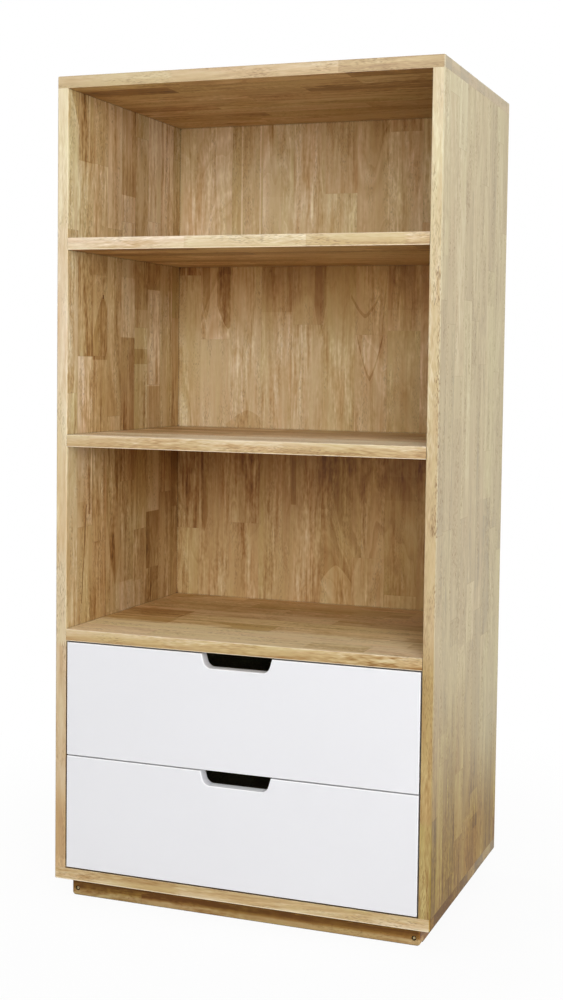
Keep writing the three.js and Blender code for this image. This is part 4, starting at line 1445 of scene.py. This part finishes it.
# %% [markdown]
# ## Runners
#
# A ball-bearing runner is three steel channels rolled from strip, one inside the other. Such a section is
# made here as it is made in the mill: a line is drawn across the strip, its bends are rounded, it is drawn
# out to the runner's length and then given the thickness of the sheet. Between the channels run four rows
# of balls in flat cages, the outer pair at the rear and the inner pair at the front of the middle channel.

# %% Sizes of the runner's sections
sheet = 1.2 * MM
bend_radius = 1.6 * MM
lip_depth = 2.6 * MM
ball_radius = 1.55 * MM
ball_row_height = 3.2 * MM
ball_clearance = 0.3 * MM
ball_spacing = 12.5 * MM
web_gap = 0.8 * MM
flange_gap = 0.8 * MM
middle_flange = 7.4 * MM
cage_sheet = 0.5 * MM
cage_width = 4.4 * MM
cage_overhang = 0.2 * MM

cabinet_low, cabinet_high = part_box("upper_left_runner_cabinet_member")
runner_half = (cabinet_high.z - cabinet_low.z) / 2
runner_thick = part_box("upper_left_runner_drawer_member")[1].x - cabinet_low.x
outer_flange_end = runner_thick - sheet - flange_gap
middle_half = runner_half - sheet - ball_clearance - ball_row_height
inner_half = middle_half - sheet - ball_row_height - ball_clearance
middle_web = sheet + web_gap
middle_flange_end = middle_web + middle_flange
inner_flange_end = middle_web + sheet + web_gap
ball_centre = middle_flange_end - sheet / 2 - cage_width / 2 + cage_overhang
print("runner is", round(runner_thick / MM, 2), "mm thick and", round(2 * runner_half / MM, 1), "mm high")


# %% Rolled channels
def channel(points, at, start, end):
    """A strip with rounded bends. points are (across, up) from the runner's centre line, at puts one of them
    into X and Z, and the strip runs from start to end along Y."""
    bm = bmesh.new()
    verts = [bm.verts.new(at(u, v, start)) for u, v in points]
    for pair in zip(verts, verts[1:]):
        bm.edges.new(pair)
    round_verts(bm, verts[1:-1], bend_radius, segments=4)
    drawn = bmesh.ops.extrude_edge_only(bm, edges=bm.edges[:])["geom"]
    bmesh.ops.translate(bm, vec=(0, end - start, 0), verts=only(bmesh.types.BMVert, drawn))
    return bm


def thicken(bm, inside_point):
    """Gives the strip its thickness on the side where inside_point lies."""
    bmesh.ops.recalc_face_normals(bm, faces=bm.faces)
    web = max(bm.faces, key=lambda face: face.calc_area())
    if web.normal.dot(inside_point - web.calc_center_median()) > 0:
        bmesh.ops.reverse_faces(bm, faces=bm.faces)
    bmesh.ops.solidify(bm, geom=bm.faces[:], thickness=sheet)
    bmesh.ops.recalc_face_normals(bm, faces=bm.faces)
    return bm


def mirrored_strip(half_points):
    """The upper half of a section, from its free end to its web, followed by the lower half."""
    return half_points + [(u, -v) for u, v in reversed(half_points)]


sections = {
    "cabinet": mirrored_strip([(outer_flange_end, runner_half - sheet - lip_depth),
                               (outer_flange_end, runner_half), (0, runner_half)]),
    "middle": mirrored_strip([(middle_flange_end, middle_half), (middle_web, middle_half)]),
    "drawer": mirrored_strip([(inner_flange_end, inner_half), (runner_thick, inner_half)]),
}


# %% Ball rows and cages
def ball_row(at, height, start, end):
    """Balls in a flat cage strip, at one height above or below the runner's centre line."""
    low = at(ball_centre - cage_width / 2, height - cage_sheet / 2, start)
    high = at(ball_centre + cage_width / 2, height + cage_sheet / 2, end)
    corners = [Vector(min(a, b) for a, b in zip(low, high)), Vector(max(a, b) for a, b in zip(low, high))]
    parts = [box_mesh(*corners)]
    count = int((end - start) / ball_spacing)
    for index in range(count):
        place = at(ball_centre, height, start + (index + 0.5) * (end - start) / count)
        ball = bmesh.new()
        bmesh.ops.create_icosphere(ball, subdivisions=1, radius=ball_radius, matrix=Matrix.Translation(place))
        parts.append(ball)
    return parts


# %% Four runners
runner_screw_head = 3.0 * MM
runner_screw_length = 11 * MM
runner_screw_rise = {"cabinet": sheet + 0.4 * MM, "drawer": runner_thick - sheet - 0.6 * MM}
screw_places = (0.1, 0.5, 0.9)
for name in ("upper", "lower"):
    for side, sign in (("left", -1), ("right", 1)):
        label = f"{name}_{side}_runner"
        low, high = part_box(f"{label}_cabinet_member")
        wall = low.x if side == "left" else high.x
        level = (low.z + high.z) / 2

        def at(u, v, y):
            return Vector((wall - sign * u, y, level + v))

        middle_point = at(runner_thick / 2, 0, (low.y + high.y) / 2)
        bodies = {"cabinet": "carcass", "middle": f"{label}_slide", "drawer": f"{name}_drawer"}
        for member, body in bodies.items():
            bm = thicken(channel(sections[member], at, low.y, high.y), middle_point)
            finish_piece(bm, f"{label}_{member}_channel", zinc, body,
                         [f"{label}_{member}_member"], smooth_below=40)

        half_way = (low.y + high.y) / 2
        rows = []
        for up in (-1, 1):
            rows += ball_row(at, up * (middle_half + ball_row_height / 2), half_way, high.y)
            rows += ball_row(at, up * (middle_half - sheet - ball_row_height / 2), low.y, half_way)
        finish_piece(join_meshes(rows), f"{label}_ball_rows", zinc, bodies["middle"],
                     smooth_below=50)

        for member, outwards in (("cabinet", -sign), ("drawer", sign)):
            rise = runner_screw_rise[member]
            heads = [
                screw_mesh(runner_screw_head, runner_screw_length,
                           at(rise, 0, low.y + share * (high.y - low.y)), facing((outwards, 0, 0)))
                for share in screw_places
            ]
            finish_piece(join_meshes(heads), f"{label}_{member}_screws", zinc, bodies[member],
                         (), 35, zinc)

# %% [markdown]
# ## Dowels and back pins
#
# The dowels are hidden in the joints, so their CAD solids stay and only get a finish. From behind, the back
# panel shows small cross-headed pins along the rabbet, which is how such a thin panel is fixed.

# %% Dowels keep their solids
dowel_material = board_wood("dowel_wood", "X", "Y", (50.0, 0.0, 0.0), tone=0.85, spread=0.1, figure=0.15)
dowels = [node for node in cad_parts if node.endswith("_dowel")]
for node in dowels:
    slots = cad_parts[node].data.materials
    slots.clear()
    slots.append(dowel_material)
print(len(dowels), "dowels")

# %% Back pins
pin_inset = 4 * MM
pin_radius = 1.6 * MM
pin_length = 9 * MM
pin_flat = 0.7
pin_proud = 0.1 * MM
pin_rows_up, pin_rows_across = 8, 4
spots = []
for index in range(pin_rows_up):
    z = back_low.z + pin_inset + index * (back_high.z - back_low.z - 2 * pin_inset) / (pin_rows_up - 1)
    spots += [(back_low.x + pin_inset, z), (back_high.x - pin_inset, z)]
for index in range(1, pin_rows_across):
    x = back_low.x + index * (back_high.x - back_low.x) / pin_rows_across
    spots += [(x, back_low.z + pin_inset), (x, back_high.z - pin_inset)]
pins = [
    screw_mesh(pin_radius, pin_length, Vector((x, back_high.y + pin_proud, z)), facing((0, 1, 0)), pin_flat)
    for x, z in spots
]
finish_piece(join_meshes(pins), "back_panel_pins", zinc, "carcass", (), 35, zinc)
